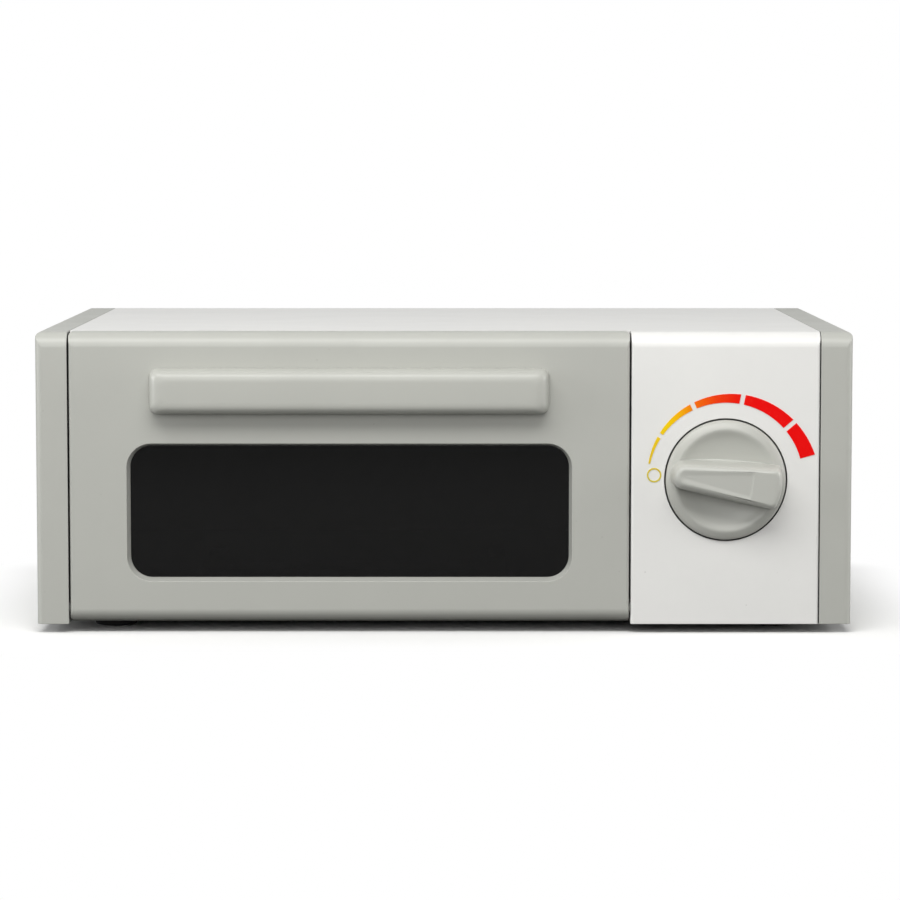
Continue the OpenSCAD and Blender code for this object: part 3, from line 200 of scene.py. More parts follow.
def lightRoom(s):
    world = bpy.data.worlds.new("studioRoom")
    bpy.context.scene.world = world
    world.use_nodes = True
    tree = world.node_tree
    tree.nodes.clear()
    rays = addNode(tree, "ShaderNodeLightPath")
    mirrored = times(tree, rays.outputs["Is Glossy Ray"], s["roomGloss"])
    seen = mathNode(tree, "MAXIMUM", rays.outputs["Is Camera Ray"], mirrored)
    seen = mathNode(tree, "MAXIMUM", seen, rays.outputs["Is Transmission Ray"])
    glow = glowNode(tree, "Background", s["roomTint"], s["roomGlow"])
    mixed = mixShader(tree, seen, glow, glowNode(tree, "Background", pureWhite))
    plug(tree, mixed, addNode(tree, "ShaderNodeOutputWorld").inputs[0])


def addFloor(s):
    bm = bmesh.new()
    bmesh.ops.create_grid(bm, x_segments=2, y_segments=2, size=s["floorHalf"])
    floor = newObject("studioFloor", meshFrom("studioFloor", bm))
    floor.location.z = -s["floorDrop"]
    material, tree, shader = newMaterial("floorPaper")
    setInputs(shader, {"Roughness": s["floorRough"], "Specular IOR Level": s["floorGloss"]})
    rays = addNode(tree, "ShaderNodeLightPath")
    plug(tree, mixColor(tree, rays.outputs["Is Camera Ray"], s["floorTone"], s["floorPale"]),
         shader.inputs["Base Color"])
    # Away from the oven's footprint the paper turns to the white of the room, for the eye alone
    axes = splitInto(tree, "XYZ", objectPlace(tree))
    out = []
    for axis, half in zip(("X", "Y"), s["footprint"]):
        away = mathNode(tree, "SUBTRACT", mathNode(tree, "ABSOLUTE", axes[axis]), half)
        away = mathNode(tree, "MAXIMUM", away, 0.0)
        out.append(times(tree, away, away))
    away = mathNode(tree, "SQRT", mathNode(tree, "ADD", out[0], out[1]))
    fade = mapNode(tree, away, *s["fadeOver"], smooth=True)
    seen = times(tree, fade, rays.outputs["Is Camera Ray"])
    mixed = mixShader(tree, seen, shader.outputs[0], glowNode(tree, "Emission", pureWhite))
    plug(tree, mixed, tree.nodes["Material Output"].inputs[0])
    floor.data.materials.append(material)


bpy.context.scene.view_settings.view_transform = "Standard"
addCamera(studio)
addLamps(studio)
lightRoom(studio)
addFloor(studio)
print("studio ready")


def newGroup(name, takes, gives):
    group = bpy.data.node_groups.new(name, "ShaderNodeTree")
    for label, value in takes.items():
        socket = group.interface.new_socket(label, in_out="INPUT", socket_type="NodeSocketFloat")
        socket.default_value = value
    for label, kind in gives.items():
        group.interface.new_socket(label, in_out="OUTPUT", socket_type="NodeSocket" + kind)
    return group, addNode(group, "NodeGroupInput"), addNode(group, "NodeGroupOutput")


def noiseNode(tree, place, scale, detail=2.0, roughness=0.5, stretch=None):
    node = addNode(tree, "ShaderNodeTexNoise")
    setInputs(node, {"Detail": detail, "Roughness": roughness})
    if stretch:
        mapping = addNode(tree, "ShaderNodeMapping")
        mapping.inputs["Scale"].default_value = stretch
        plug(tree, place, mapping.inputs[0])
        place = mapping.outputs[0]
    plug(tree, place, node.inputs["Vector"])
    feed(tree, scale, node.inputs["Scale"])
    return node.outputs[0]


def cellNode(tree, place, scale, **kind):
    node = addNode(tree, "ShaderNodeTexVoronoi", **kind)
    node.inputs["Scale"].default_value = scale
    plug(tree, place, node.inputs["Vector"])
    return node


# Moulded skin: fine grain, slow waves of shrinkage, cloudy tone and specks of dust
skinScales = {"wave": 38.0, "cloud": 26.0, "dust": 210.0}


def makeSkinGroup(s):
    group, takes, gives = newGroup(
        "mouldedSkin", {"Grain Scale": 2200.0, "Grain Depth": 0.3, "Wave Depth": 0.5, "Dust Amount": 0.3},
        {"Height": "Float", "Cloud": "Float", "Dust": "Float"})
    place = objectPlace(group)
    grain = noiseNode(group, place, takes.outputs["Grain Scale"], 3.0, 0.6)
    wave = noiseNode(group, place, s["wave"], 1.5)
    fine = times(group, grain, takes.outputs["Grain Depth"])
    slow = times(group, wave, takes.outputs["Wave Depth"])
    plug(group, mathNode(group, "ADD", fine, slow), gives.inputs["Height"])
    cloud = noiseNode(group, place, s["cloud"], 5.0, 0.62)
    plug(group, mapNode(group, cloud, 0.36, 0.66), gives.inputs["Cloud"])
    cells = cellNode(group, place, s["dust"], feature="F1")
    speck = mapNode(group, cells.outputs["Distance"], 0.035, 0.075, 1.0, 0.0, smooth=True)
    split = splitInto(group, "Color", cells.outputs["Color"])
    chosen = mathNode(group, "LESS_THAN", split[0], takes.outputs["Dust Amount"])
    faint = times(group, speck, split[1])
    plug(group, times(group, faint, chosen), gives.inputs["Dust"])
    return group


edgeSamples = 6


# Rounded edges: the normal of a small fillet, a mask along it for a painted highlight, and an occlusion mask
# for painted shade in narrow gaps
def makeEdgeGroup():
    group, takes, gives = newGroup("softEdge", {"Radius": 0.0003, "Crevice Width": 0.0024},
                                   {"Normal": "Vector", "Edge": "Float", "Gap Shade": "Float"})
    bevel = addNode(group, "ShaderNodeBevel", samples=edgeSamples)
    plug(group, takes.outputs["Radius"], bevel.inputs["Radius"])
    plug(group, bevel.outputs[0], gives.inputs["Normal"])
    facing = addNode(group, "ShaderNodeVectorMath", operation="DOT_PRODUCT")
    plug(group, bevel.outputs[0], facing.inputs[0])
    plug(group, addNode(group, "ShaderNodeNewGeometry").outputs["Normal"], facing.inputs[1])
    plug(group, mapNode(group, facing.outputs["Value"], 0.995, 0.85), gives.inputs["Edge"])
    # Painted shade: ambient occlusion marks narrow gaps, where the colour is darkened
    shelter = addNode(group, "ShaderNodeAmbientOcclusion", samples=edgeSamples)
    plug(group, takes.outputs["Crevice Width"], shelter.inputs["Distance"])
    plug(group, mapNode(group, shelter.outputs["AO"], 0.12, 0.50, 1.0, 0.0, smooth=True),
         gives.inputs["Gap Shade"])
    return group


skinGroup = makeSkinGroup(skinScales)
edgeGroup = makeEdgeGroup()


def placeGroup(tree, group, values):
    node = addNode(tree, "ShaderNodeGroup", node_tree=group)
    setInputs(node, values)
    return node


def bumpInto(tree, shader, height, normal, strength, distance):
    bump = addNode(tree, "ShaderNodeBump")
    setInputs(bump, {"Strength": strength, "Distance": distance})
    plug(tree, height, bump.inputs["Height"])
    if normal is not None:
        plug(tree, normal, bump.inputs["Normal"])
    plug(tree, bump.outputs[0], shader.inputs["Normal"])


# Colour, and a roughness that follows the mask from low to high
def coverWith(tree, shader, color, mask, low, high, fromLow=0.0, fromHigh=1.0):
    plug(tree, color, shader.inputs["Base Color"])
    plug(tree, mapNode(tree, mask, fromLow, fromHigh, low, high), shader.inputs["Roughness"])


# For every plastic that doesn't say otherwise. Lengths are in millimetres.
plasticBase = {
    # The edge tone lightens the colour along rounded edges: a painted highlight
    "edge": 0.3, "edgeHighlight": 1.06, "cloudTone": 0.965, "grain": 0.25, "grainScale": 2200.0, "wave": 0.6,
    # After the dust on the next line come the strength and the tone of the painted shade in narrow gaps
    "relief": 0.02, "dust": 0.22, "dustMark": 0.35, "dustColor": (0.30, 0.29, 0.27), "gapShade": 0.95,
    "gapShadeTone": 0.12, "gloss": 0.45, "ior": 1.5,
}


def makePlastic(name, own):
    s = {**plasticBase, **own}
    material, tree, shader = newMaterial(name)
    skin = placeGroup(tree, skinGroup, {"Grain Scale": s["grainScale"], "Grain Depth": s["grain"],
                                        "Wave Depth": s["wave"], "Dust Amount": s["dust"]})
    edge = placeGroup(tree, edgeGroup, {"Radius": s["edge"] * mm})
    tone, gapShade = (tuple(c * s[key] for c in s["color"]) for key in ("cloudTone", "gapShadeTone"))
    edgeHighlight = tuple(min(1.0, c * s["edgeHighlight"]) for c in s["color"])
    color = mixColor(tree, skin.outputs["Cloud"], s["color"], tone)
    # Painted highlight: the colour is lighter along rounded edges
    color = mixColor(tree, edge.outputs["Edge"], color, edgeHighlight)
    color = mixColor(tree, times(tree, skin.outputs["Dust"], s["dustMark"]), color, s["dustColor"])
    # Painted shade: the colour turns dark in narrow gaps and crevices
    color = mixColor(tree, times(tree, edge.outputs["Gap Shade"], s["gapShade"]), color, gapShade)
    coverWith(tree, shader, color, skin.outputs["Cloud"], s["rough"] - 0.03, s["rough"] + 0.05)
    bumpInto(tree, shader, skin.outputs["Height"], edge.outputs["Normal"], 1.0, s["relief"] * mm)
    setInputs(shader, {"IOR": s["ior"], "Specular IOR Level": s["gloss"]})
    return material


plasticSettings = {
    "whitePlastic": {"color": (0.82, 0.817, 0.797), "rough": 0.33, "edge": 0.35, "edgeHighlight": 1.03},
    "greyPlastic": {"color": (0.47, 0.475, 0.440), "rough": 0.35, "edge": 0.4},
    "handlePlastic": {"color": (0.48, 0.485, 0.448), "rough": 0.33, "edge": 0.5},
    "knobPlastic": {"color": (0.49, 0.495, 0.458), "rough": 0.34, "edge": 0.3},
    "linerPlastic": {"color": (0.20, 0.215, 0.24), "rough": 0.5, "grain": 0.7, "relief": 0.04},
    "footRubber": {"color": (0.045, 0.045, 0.045), "rough": 0.72, "grain": 1.0, "relief": 0.05,
                   "grainScale": 1500.0, "dust": 0.5, "dustColor": (0.35, 0.34, 0.32), "gloss": 0.3},
    "rotorPlastic": {"color": (0.68, 0.65, 0.56), "rough": 0.45},
    "boxPlastic": {"color": (0.035, 0.035, 0.038), "rough": 0.5, "grain": 1.0, "relief": 0.05,
                   "dustColor": (0.30, 0.30, 0.29)},
    "resinBlack": {"color": (0.018, 0.018, 0.019), "rough": 0.28, "dustColor": (0.3, 0.3, 0.3)},
    "leadBlack": {"color": (0.022, 0.022, 0.024), "rough": 0.42, "edge": 0.1},
    "leadRed": {"color": (0.42, 0.02, 0.015), "rough": 0.42, "edge": 0.1},
    "leadYellow": {"color": (0.62, 0.40, 0.03), "rough": 0.42, "edge": 0.1},
    "cellBand": {"color": (0.62, 0.62, 0.60), "rough": 0.25},
    "cellMark": {"color": (0.88, 0.88, 0.86), "rough": 0.35},
    "canSleeve": {"color": (0.012, 0.022, 0.085), "rough": 0.25},
    "socketWhite": {"color": (0.70, 0.68, 0.62), "rough": 0.4},
}
finishes = {name: makePlastic(name, s) for name, s in plasticSettings.items()}
print("plastics ready:", len(finishes))


# Heat scale: olive yellow at the off ring, through orange, to full red
scalePrint = {
    "centerX": 0.0932, "centerZ": 0.0511,
    # share of the half turn from the off ring: tint
    "stops": ((0.0, (0.66, 0.56, 0.06)), (0.10, (0.78, 0.54, 0.02)), (0.24, (0.92, 0.62, 0.002)),
              (0.30, (0.93, 0.46, 0.001)), (0.38, (0.92, 0.15, 0.001)), (0.46, (0.88, 0.045, 0.001)),
              (0.54, (0.86, 0.009, 0.001)), (0.62, (0.85, 0.001, 0.001))),
    "rough": 0.30,
}


def makeScalePrint(s):
    material, tree, shader = newMaterial("scalePrint")
    place = objectPlace(tree)
    centered = addNode(tree, "ShaderNodeMapping")
    centered.inputs["Location"].default_value = (-s["centerX"], 0.0, -s["centerZ"])
    plug(tree, place, centered.inputs[0])
    axes = splitInto(tree, "XYZ", centered.outputs[0])
    # The lower half of the off ring lies below the middle: it keeps the ring's own tint
    above = mathNode(tree, "MAXIMUM", axes["Z"], 0.0)
    angle = mathNode(tree, "ARCTAN2", above, axes["X"])
    share = mapNode(tree, angle, math.pi, 0.0)
    ramp = addNode(tree, "ShaderNodeValToRGB")
    for i, (at, tint) in enumerate(s["stops"]):
        stop = ramp.color_ramp.elements[i] if i < 2 else ramp.color_ramp.elements.new(at)
        stop.position = at
        stop.color = (*tint, 1.0)
    plug(tree, share, ramp.inputs[0])
    # Ink lies a little uneven
    patch = noiseNode(tree, place, 900.0, 3.0, 0.7)
    thin = mapNode(tree, patch, 0.58, 0.8, 0.0, 0.03)
    color = mixColor(tree, thin, ramp.outputs[0], (0.85, 0.75, 0.62))
    coverWith(tree, shader, color, patch, s["rough"], s["rough"] + 0.12, 0.3, 0.7)
    bumpInto(tree, shader, patch, None, 0.5, 0.01 * mm)
    setInputs(shader, {"Specular IOR Level": 0.12})
    return material


# Smoked pane: clear plastic with a dark tint, thin wipe marks and dust
paneSettings = {"tint": (0.050, 0.051, 0.062), "rough": 0.0, "dust": (0.35, 0.35, 0.36), "gloss": 0.3}


def makePane(s):
    material, tree, shader = newMaterial("smokedPane")
    skin = placeGroup(tree, skinGroup, {"Grain Scale": 600.0, "Grain Depth": 0.0, "Wave Depth": 0.8,
                                        "Dust Amount": 0.3})
    place = objectPlace(tree)
    wipe = noiseNode(tree, place, 60.0, 4.0, 0.7, stretch=(0.25, 1.0, 1.6))
    faint = times(tree, skin.outputs["Dust"], 0.25)
    color = mixColor(tree, faint, s["tint"], s["dust"])
    coverWith(tree, shader, color, wipe, s["rough"], s["rough"] + 0.05, 0.5, 0.8)
    bumpInto(tree, shader, skin.outputs["Height"], None, 0.2, 0.01 * mm)
    setInputs(shader, {"Transmission Weight": 1.0, "Metallic": 0.0, "IOR": 1.49,
                       "Specular IOR Level": s["gloss"]})
    return material


def makeClear(name, s):
    material, tree, shader = newMaterial(name)
    cloud = noiseNode(tree, objectPlace(tree), s["scale"], 3.0, 0.6)
    low = tuple(c * 0.85 for c in s["color"])
    color = mixColor(tree, mapNode(tree, cloud, 0.35, 0.65), s["color"], low)
    coverWith(tree, shader, color, cloud, s["rough"], s["rough"] + 0.08, 0.3, 0.7)
    bumpInto(tree, shader, cloud, None, 0.5, s["relief"] * mm)
    setInputs(shader, {"Transmission Weight": s["clear"], "Metallic": 0.0, "IOR": 1.5})
    return material


clearSettings = {
    "ledClear": {"color": (0.95, 0.78, 0.45), "scale": 300.0, "rough": 0.05, "relief": 0.01, "clear": 1.0},
    "lensAmber": {"color": (0.95, 0.52, 0.10), "scale": 900.0, "rough": 0.32, "relief": 0.08, "clear": 0.85},
}


# Metal: fine turning or rolling lines, cloudy plating and dull spots
def makeMetalGroup():
    group, takes, gives = newGroup("platedSkin", {"Line Scale": 3000.0, "Cloud Scale": 400.0},
                                   {"Height": "Float", "Cloud": "Float", "Spots": "Float"})
    place = objectPlace(group)
    lines = noiseNode(group, place, takes.outputs["Line Scale"], 2.0, 0.5, stretch=(1.0, 1.0, 0.12))
    plug(group, lines, gives.inputs["Height"])
    cloud = noiseNode(group, place, takes.outputs["Cloud Scale"], 4.0, 0.6)
    plug(group, mapNode(group, cloud, 0.35, 0.65), gives.inputs["Cloud"])
    spots = noiseNode(group, place, 1300.0, 2.0, 0.5)
    plug(group, mapNode(group, spots, 0.66, 0.74), gives.inputs["Spots"])
    return group


metalGroup = makeMetalGroup()


# For every metal that doesn't say otherwise
metalBase = {"lines": 3000.0, "cloud": 400.0, "spots": 0.5, "edge": 0.08, "relief": 0.01, "metal": 1.0}


def makeMetal(name, own):
    s = {**metalBase, **own}
    material, tree, shader = newMaterial(name)
    skin = placeGroup(tree, metalGroup, {"Line Scale": s["lines"], "Cloud Scale": s["cloud"]})
    edge = placeGroup(tree, edgeGroup, {"Radius": s["edge"] * mm})
    color = mixColor(tree, skin.outputs["Cloud"], s["color"], s["tarnish"])
    color = mixColor(tree, times(tree, skin.outputs["Spots"], s["spots"]), color, s["spot"])
    coverWith(tree, shader, color, skin.outputs["Cloud"], s["rough"], s["rough"] + 0.14)
    bumpInto(tree, shader, skin.outputs["Height"], edge.outputs["Normal"], 0.6, s["relief"] * mm)
    setInputs(shader, {"Metallic": s["metal"]})
    return material


metalSettings = {
    "screwSteel": {"color": (0.62, 0.61, 0.58), "tarnish": (0.50, 0.49, 0.46), "spot": (0.30, 0.29, 0.27),
                   "rough": 0.28},
    "contactBrass": {"color": (0.78, 0.56, 0.22), "tarnish": (0.62, 0.42, 0.15), "spot": (0.34, 0.22, 0.08),
                     "rough": 0.22},
    "contactNickel": {"color": (0.70, 0.68, 0.63), "tarnish": (0.58, 0.56, 0.51), "spot": (0.40, 0.38, 0.33),
                      "rough": 0.24},
    "speakerSteel": {"color": (0.46, 0.46, 0.45), "tarnish": (0.38, 0.38, 0.37), "spot": (0.26, 0.25, 0.24),
                     "rough": 0.42, "edge": 0.15},
    "magnetFerrite": {"color": (0.055, 0.055, 0.06), "tarnish": (0.035, 0.035, 0.04),
                      "spot": (0.12, 0.12, 0.12), "rough": 0.5, "metal": 0.2, "relief": 0.06, "edge": 0.2},
    "solderTin": {"color": (0.66, 0.66, 0.66), "tarnish": (0.52, 0.52, 0.53), "spot": (0.36, 0.36, 0.36),
                  "rough": 0.3},
}


# Circuit board: green mask over copper tracks, with tinned dots where the tracks end
boardSettings = {"mask": (0.012, 0.10, 0.035), "track": (0.03, 0.20, 0.07), "pad": (0.60, 0.60, 0.58),
                 "trackScale": 190.0, "padScale": 240.0}


def makeBoard(s):
    material, tree, shader = newMaterial("boardLaminate")
    place = objectPlace(tree)
    second, first = (cellNode(tree, place, s["trackScale"], feature=kind, distance="CHEBYCHEV")
                     for kind in ("F2", "F1"))
    gap = mathNode(tree, "SUBTRACT", second.outputs["Distance"], first.outputs["Distance"])
    track = mapNode(tree, gap, 0.10, 0.16, 1.0, 0.0, smooth=True)
    dots = cellNode(tree, place, s["padScale"], feature="F1")
    dots.inputs["Randomness"].default_value = 0.35
    pad = mapNode(tree, dots.outputs["Distance"], 0.13, 0.17, 1.0, 0.0, smooth=True)
    pick = splitInto(tree, "Color", dots.outputs["Color"])
    pad = times(tree, pad, mathNode(tree, "LESS_THAN", pick[0], 0.16))
    color = mixColor(tree, track, s["mask"], s["track"])
    color = mixColor(tree, pad, color, s["pad"])
    coverWith(tree, shader, color, pad, 0.28, 0.2)
    plug(tree, mapNode(tree, pad, 0.0, 1.0), shader.inputs["Metallic"])
    height = mathNode(tree, "ADD", track, times(tree, pad, 2.0))
    edge = placeGroup(tree, edgeGroup, {"Radius": 0.15 * mm})
    bumpInto(tree, shader, height, edge.outputs["Normal"], 0.7, 0.035 * mm)
    return material


# Pressed paper of the cone: felted fibres
def makeConePaper():
    material, tree, shader = newMaterial("conePaper")
    place = objectPlace(tree)
    fibre = noiseNode(tree, place, 1400.0, 6.0, 0.75)
    blotch = noiseNode(tree, place, 220.0, 3.0, 0.6)
    color = mixColor(tree, mapNode(tree, fibre, 0.35, 0.7), (0.030, 0.028, 0.026), (0.075, 0.070, 0.064))
    color = mixColor(tree, mapNode(tree, blotch, 0.4, 0.7, 0.0, 0.4), color, (0.020, 0.019, 0.018))
    coverWith(tree, shader, color, fibre, 0.75, 0.95, 0.3, 0.7)
    bumpInto(tree, shader, fibre, None, 0.8, 0.06 * mm)
    return material


# Film round the cells
cellFilm = {"film": (0.045, 0.14, 0.30), "filmLow": (0.035, 0.115, 0.26)}


def makeCellFilm(s):
    material, tree, shader = newMaterial("cellFilm")
    skin = placeGroup(tree, skinGroup, {"Grain Scale": 1800.0, "Grain Depth": 0.3, "Wave Depth": 1.0,
                                        "Dust Amount": 0.2})
    color = mixColor(tree, skin.outputs["Cloud"], s["film"], s["filmLow"])
    color = mixColor(tree, times(tree, skin.outputs["Dust"], 0.4), color, (0.5, 0.5, 0.5))
    coverWith(tree, shader, color, skin.outputs["Cloud"], 0.22, 0.34)
    bumpInto(tree, shader, skin.outputs["Height"], None, 1.0, 0.02 * mm)
    setInputs(shader, {"Coat Weight": 0.4, "Coat Roughness": 0.15})
    return material


finishes.update({name: makeClear(name, s) for name, s in clearSettings.items()})
finishes.update({name: makeMetal(name, s) for name, s in metalSettings.items()})
finishes["scalePrint"] = makeScalePrint(scalePrint)
finishes["smokedPane"] = makePane(paneSettings)
finishes["boardLaminate"] = makeBoard(boardSettings)
finishes["conePaper"] = makeConePaper()
finishes["cellFilm"] = makeCellFilm(cellFilm)

# All nodes that aren't named here are screws
finishNodes = {
    "whitePlastic": ("body_shell",), "handlePlastic": ("door_handle",), "knobPlastic": ("knob",),
    "greyPlastic": ("base_plate", "left_end_cap", "right_end_cap", "door_front", "door_back",
                    "battery_cover"),
    "linerPlastic": ("oven_liner",), "footRubber": ("feet",), "scalePrint": ("heat_scale",),
    "smokedPane": ("door_window",), "rotorPlastic": ("knob_rotor",), "contactBrass": ("wiper",),
    "boardLaminate": ("circuit_board", "led_board"), "ledClear": ("led",), "lensAmber": ("light_lens",),
    "speakerSteel": ("speaker_frame",), "magnetFerrite": ("speaker_magnet",), "conePaper": ("speaker_cone",),
    "boxPlastic": ("battery_box",), "contactNickel": ("battery_contacts", "battery_springs"),
    "leadBlack": ("speaker_leads",), "leadRed": ("battery_leads",), "leadYellow": ("led_leads",),
    "resinBlack": ("board_parts",), "cellFilm": ("batteries",),
}
nodeFinish = {name: finish for finish, names in finishNodes.items() for name in names}
for name, node in nodes.items():
    node.data.materials.clear()
    node.data.materials.append(finishes[nodeFinish.get(name, "screwSteel")])
# The leads are drawn with few sides, so they are welded and rounded here
for name in ("speaker_leads", "battery_leads", "led_leads"):
    weld = nodes[name].modifiers.new("joinSeams", "WELD")
    weld.merge_threshold = 0.00001
    smooth = nodes[name].modifiers.new("roundLead", "SUBSURF")
    smooth.levels = smooth.render_levels = 1
print("finishes on all nodes:", len(finishes))


# A CAD node's separate solids from left to right: low corner, high corner and points
def solidsOf(name):
    bm = bmesh.new()
    bm.from_mesh(nodes[name].data)
    bmesh.ops.remove_doubles(bm, verts=bm.verts, dist=seam)
    waiting = set(bm.verts)
    found = []
    while waiting:
        stack = [waiting.pop()]
        points = []
        while stack:
            vert = stack.pop()
            points.append(vert.co.copy())
            for edge in vert.link_edges:
                other = edge.other_vert(vert)
                if other in waiting:
                    waiting.discard(other)
                    stack.append(other)
        low = Vector([min(p[i] for p in points) for i in range(3)])
        high = Vector([max(p[i] for p in points) for i in range(3)])
        found.append((low, high, points))
    bm.free()
    return sorted(found, key=lambda s: [round(c, 4) for c in s[0]])


def finishMesh(name, bm, body, materials, replaced, angle, levels=0, normals=True):
    if normals:
        bmesh.ops.recalc_face_normals(bm, faces=bm.faces)
    for face in bm.faces:
        face.smooth = True
    mesh = meshFrom(name, bm)
    mesh.set_sharp_from_angle(angle=math.radians(angle))
    for material in materials:
        mesh.materials.append(finishes[material])
    piece = newObject(name, mesh)
    if levels:
        rounding = piece.modifiers.new("rounding", "SUBSURF")
        rounding.levels = rounding.render_levels = levels
    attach(piece, body)
    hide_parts(*replaced)


def spinRound(bm, geom, steps, turns=1.0, **more):
    bmesh.ops.spin(bm, geom=geom, cent=(0, 0, 0), axis=(0, 0, 1), angle=math.tau * turns, steps=steps, **more)


def inMetres(profile):
    return [(r * mm, z * mm) for r, z in profile]


def spinProfile(bm, profile, steps, material=0, close=True):
    verts = [bm.verts.new((r, 0.0, z)) for r, z in profile]
    edges = [bm.edges.new(pair) for pair in zip(verts, verts[1:])]
    before = set(bm.faces)
    spinRound(bm, verts + edges, steps, use_merge=True)
    if close:
        bmesh.ops.remove_doubles(bm, verts=bm.verts, dist=0.000001)
    for face in bm.faces:
        if face not in before:
            face.material_index = material


# Profiles of several materials, spun in turn and joined at their seams
def spinParts(bm, parts, steps):
    for profile, material in parts:
        spinProfile(bm, inMetres(profile), steps, material, close=False)
    bmesh.ops.remove_doubles(bm, verts=bm.verts, dist=seam)


def moveTo(bm, verts, matrix):
    bmesh.ops.transform(bm, matrix=matrix, verts=verts)


def addPart(target, part, matrix=Matrix.Identity(4), keep=False):
    mesh = bpy.data.meshes.new("passing")
    part.to_mesh(mesh)
    mesh.transform(matrix)
    target.from_mesh(mesh)
    bpy.data.meshes.remove(mesh)
    if not keep:
        part.free()


# Stands up what is drawn lying, with its face forwards
def standingAt(center, y):
    return Matrix.Translation((center[0], y, center[1])) @ Matrix.Rotation(math.radians(90), 4, "X")


def roundOff(bm, geom, offset, segments, affect="VERTICES"):
    bmesh.ops.bevel(bm, geom=geom, offset=offset, offset_type="OFFSET", segments=segments, profile=0.5,
                    affect=affect, material=-1)


def flatShape(points):
    bm = bmesh.new()
    bm.faces.new([bm.verts.new((x, y, 0.0)) for x, y in points])
    bm.verts.ensure_lookup_table()
    return bm


def takeOutline(bm):
    bm.faces.ensure_lookup_table()
    outline = [loop.vert.co.copy() for loop in bm.faces[0].loops]
    bm.free()
    return outline


# Outlines at rising heights, joined into one skin with both ends closed
def stackOutlines(bm, layers):
    rings = []
    for outline, height in layers:
        face = bm.faces.new([bm.verts.new((point.x, point.y, height)) for point in outline])
        rings.append(list(face.edges))
        if 1 < len(rings) < len(layers):
            bmesh.ops.delete(bm, geom=[face], context="FACES_ONLY")
    for lower, upper in zip(rings, rings[1:]):
        bmesh.ops.bridge_loops(bm, edges=lower + upper)


# Knob: skirt, rolled rim, bowl and a wedge grip that flows out of the bowl
knobShape = {
    "center": (0.0932, 0.0511), "panelY": -0.0815, "tilt": 8.0,
    # radius and reach in millimetres, from the middle of the bowl to the back of the skirt
    "bowl": ((0.0, 0.40), (4.0, 0.43), (6.0, 0.49), (8.0, 0.62), (10.0, 0.82), (12.0, 1.12), (13.6, 1.45),
             (14.8, 1.85), (15.6, 2.24), (16.2, 2.48), (16.6, 2.58), (17.0, 2.60), (17.5, 2.48),
             (18.4, 2.05), (19.2, 1.60), (19.65, 1.15), (19.87, 0.6), (19.9, 0.1), (19.9, -4.2), (19.7, -4.6),
             (18.4, -4.6), (18.1, -4.4), (18.1, -1.8), (16.9, -1.2), (5.2, -1.4), (4.0, -1.5)),
    "stemRadius": 4.0, "stemEnd": -10.2, "stemFlat": 2.9, "pilotRadius": 1.1,
    # grip outline: half length, half height at the tip and at the wide end
    "length": 18.5, "tip": 4.5, "end": 7.5,
    # drawn in by, reach: first the fillet to the bowl, then the wall and the rolled edge
    "layers": ((-1.0, 0.1), (-0.62, 0.5), (-0.32, 1.0), (-0.12, 1.7), (0.0, 2.6), (0.12, 3.8), (0.40, 6.5),
               (0.62, 8.6), (0.85, 9.6), (1.2, 10.3), (1.7, 10.78), (2.3, 11.0)),
    # the scoop in the grip's face, which stops short of the wide end
    "scoop": ((2.5, 11.0), (2.8, 10.985), (3.2, 10.93), (3.6, 10.86), (4.0, 10.81), (4.3, 10.80)),
    "scoopFrom": 1.0, "scoopShare": 0.50, "steps": 72, "stemSteps": 48,
}


def gripOutline(s, inward):
    reach, tip, end = s["length"] - inward, s["tip"] - inward, s["end"] - inward
    turn = math.asin(end / reach)
    points = [(-reach, -tip)]
    points += [(reach * math.cos(turn * (i / 4 - 1)), reach * math.sin(turn * (i / 4 - 1))) for i in range(9)]
    bm = flatShape(points + [(-reach, tip)])
    roundOff(bm, [bm.verts[0], bm.verts[-1]], tip * 0.93, 9)
    corners = [v for v in bm.verts if v.co.x > 0 and abs(abs(math.atan2(v.co.y, v.co.x)) - turn) < 0.002]
    roundOff(bm, corners, 0.2 * end, 4)
    return takeOutline(bm)


def makeGrip(s):
    bm = bmesh.new()
    stack = []
    for inward, height in s["layers"] + s["scoop"]:
        outline = gripOutline(s, inward)
        for point in outline:
            if (inward, height) in s["scoop"] and point.x > s["scoopFrom"]:
                point.x = s["scoopFrom"] + (point.x - s["scoopFrom"]) * s["scoopShare"]
        stack.append((outline, height))
    stackOutlines(bm, stack)
    return bm


def makeKnob(s):
    bm = bmesh.new()
    spinProfile(bm, inMetres(s["bowl"]), s["steps"])
    # Stem with its flat, closed round the screw's pilot hole
    stem = bmesh.new()
    r, pilot, end = s["stemRadius"] * mm, s["pilotRadius"] * mm, s["stemEnd"] * mm
    spinProfile(stem, [(r, -1.0 * mm), (r, end + 3.5 * mm), (r, end + 3.3 * mm), (r, end + 0.3 * mm),
                       (r - 0.3 * mm, end), (pilot, end), (pilot, end + 6 * mm), (0.0, end + 6.6 * mm)],
                s["stemSteps"])
    flat = s["stemFlat"] * mm
    for vert in stem.verts:
        if vert.co.z < end + 3.4 * mm and vert.co.x > flat:
            vert.co.x = flat
    addPart(bm, stem)
    tilt = Matrix.Rotation(math.radians(-s["tilt"]), 4, "Z")
    addPart(bm, makeGrip(s), tilt @ Matrix.Diagonal((mm, mm, mm, 1.0)))
    moveTo(bm, bm.verts, standingAt(s["center"], s["panelY"]))
    finishMesh("knob_moulding", bm, "dial", ["knobPlastic"], ["knob"], 60.0, levels=2)


# Screws: pan head with a cross recess and a helical thread
screwShape = {"recess": 0.62, "recessWidth": 0.17, "arm": 0.62, "armTaper": 0.45, "slotTaper": 0.8,
              "pitch": 1.0, "threadDepth": 0.28, "headSteps": 28, "coreSteps": 12, "turnSteps": 12}


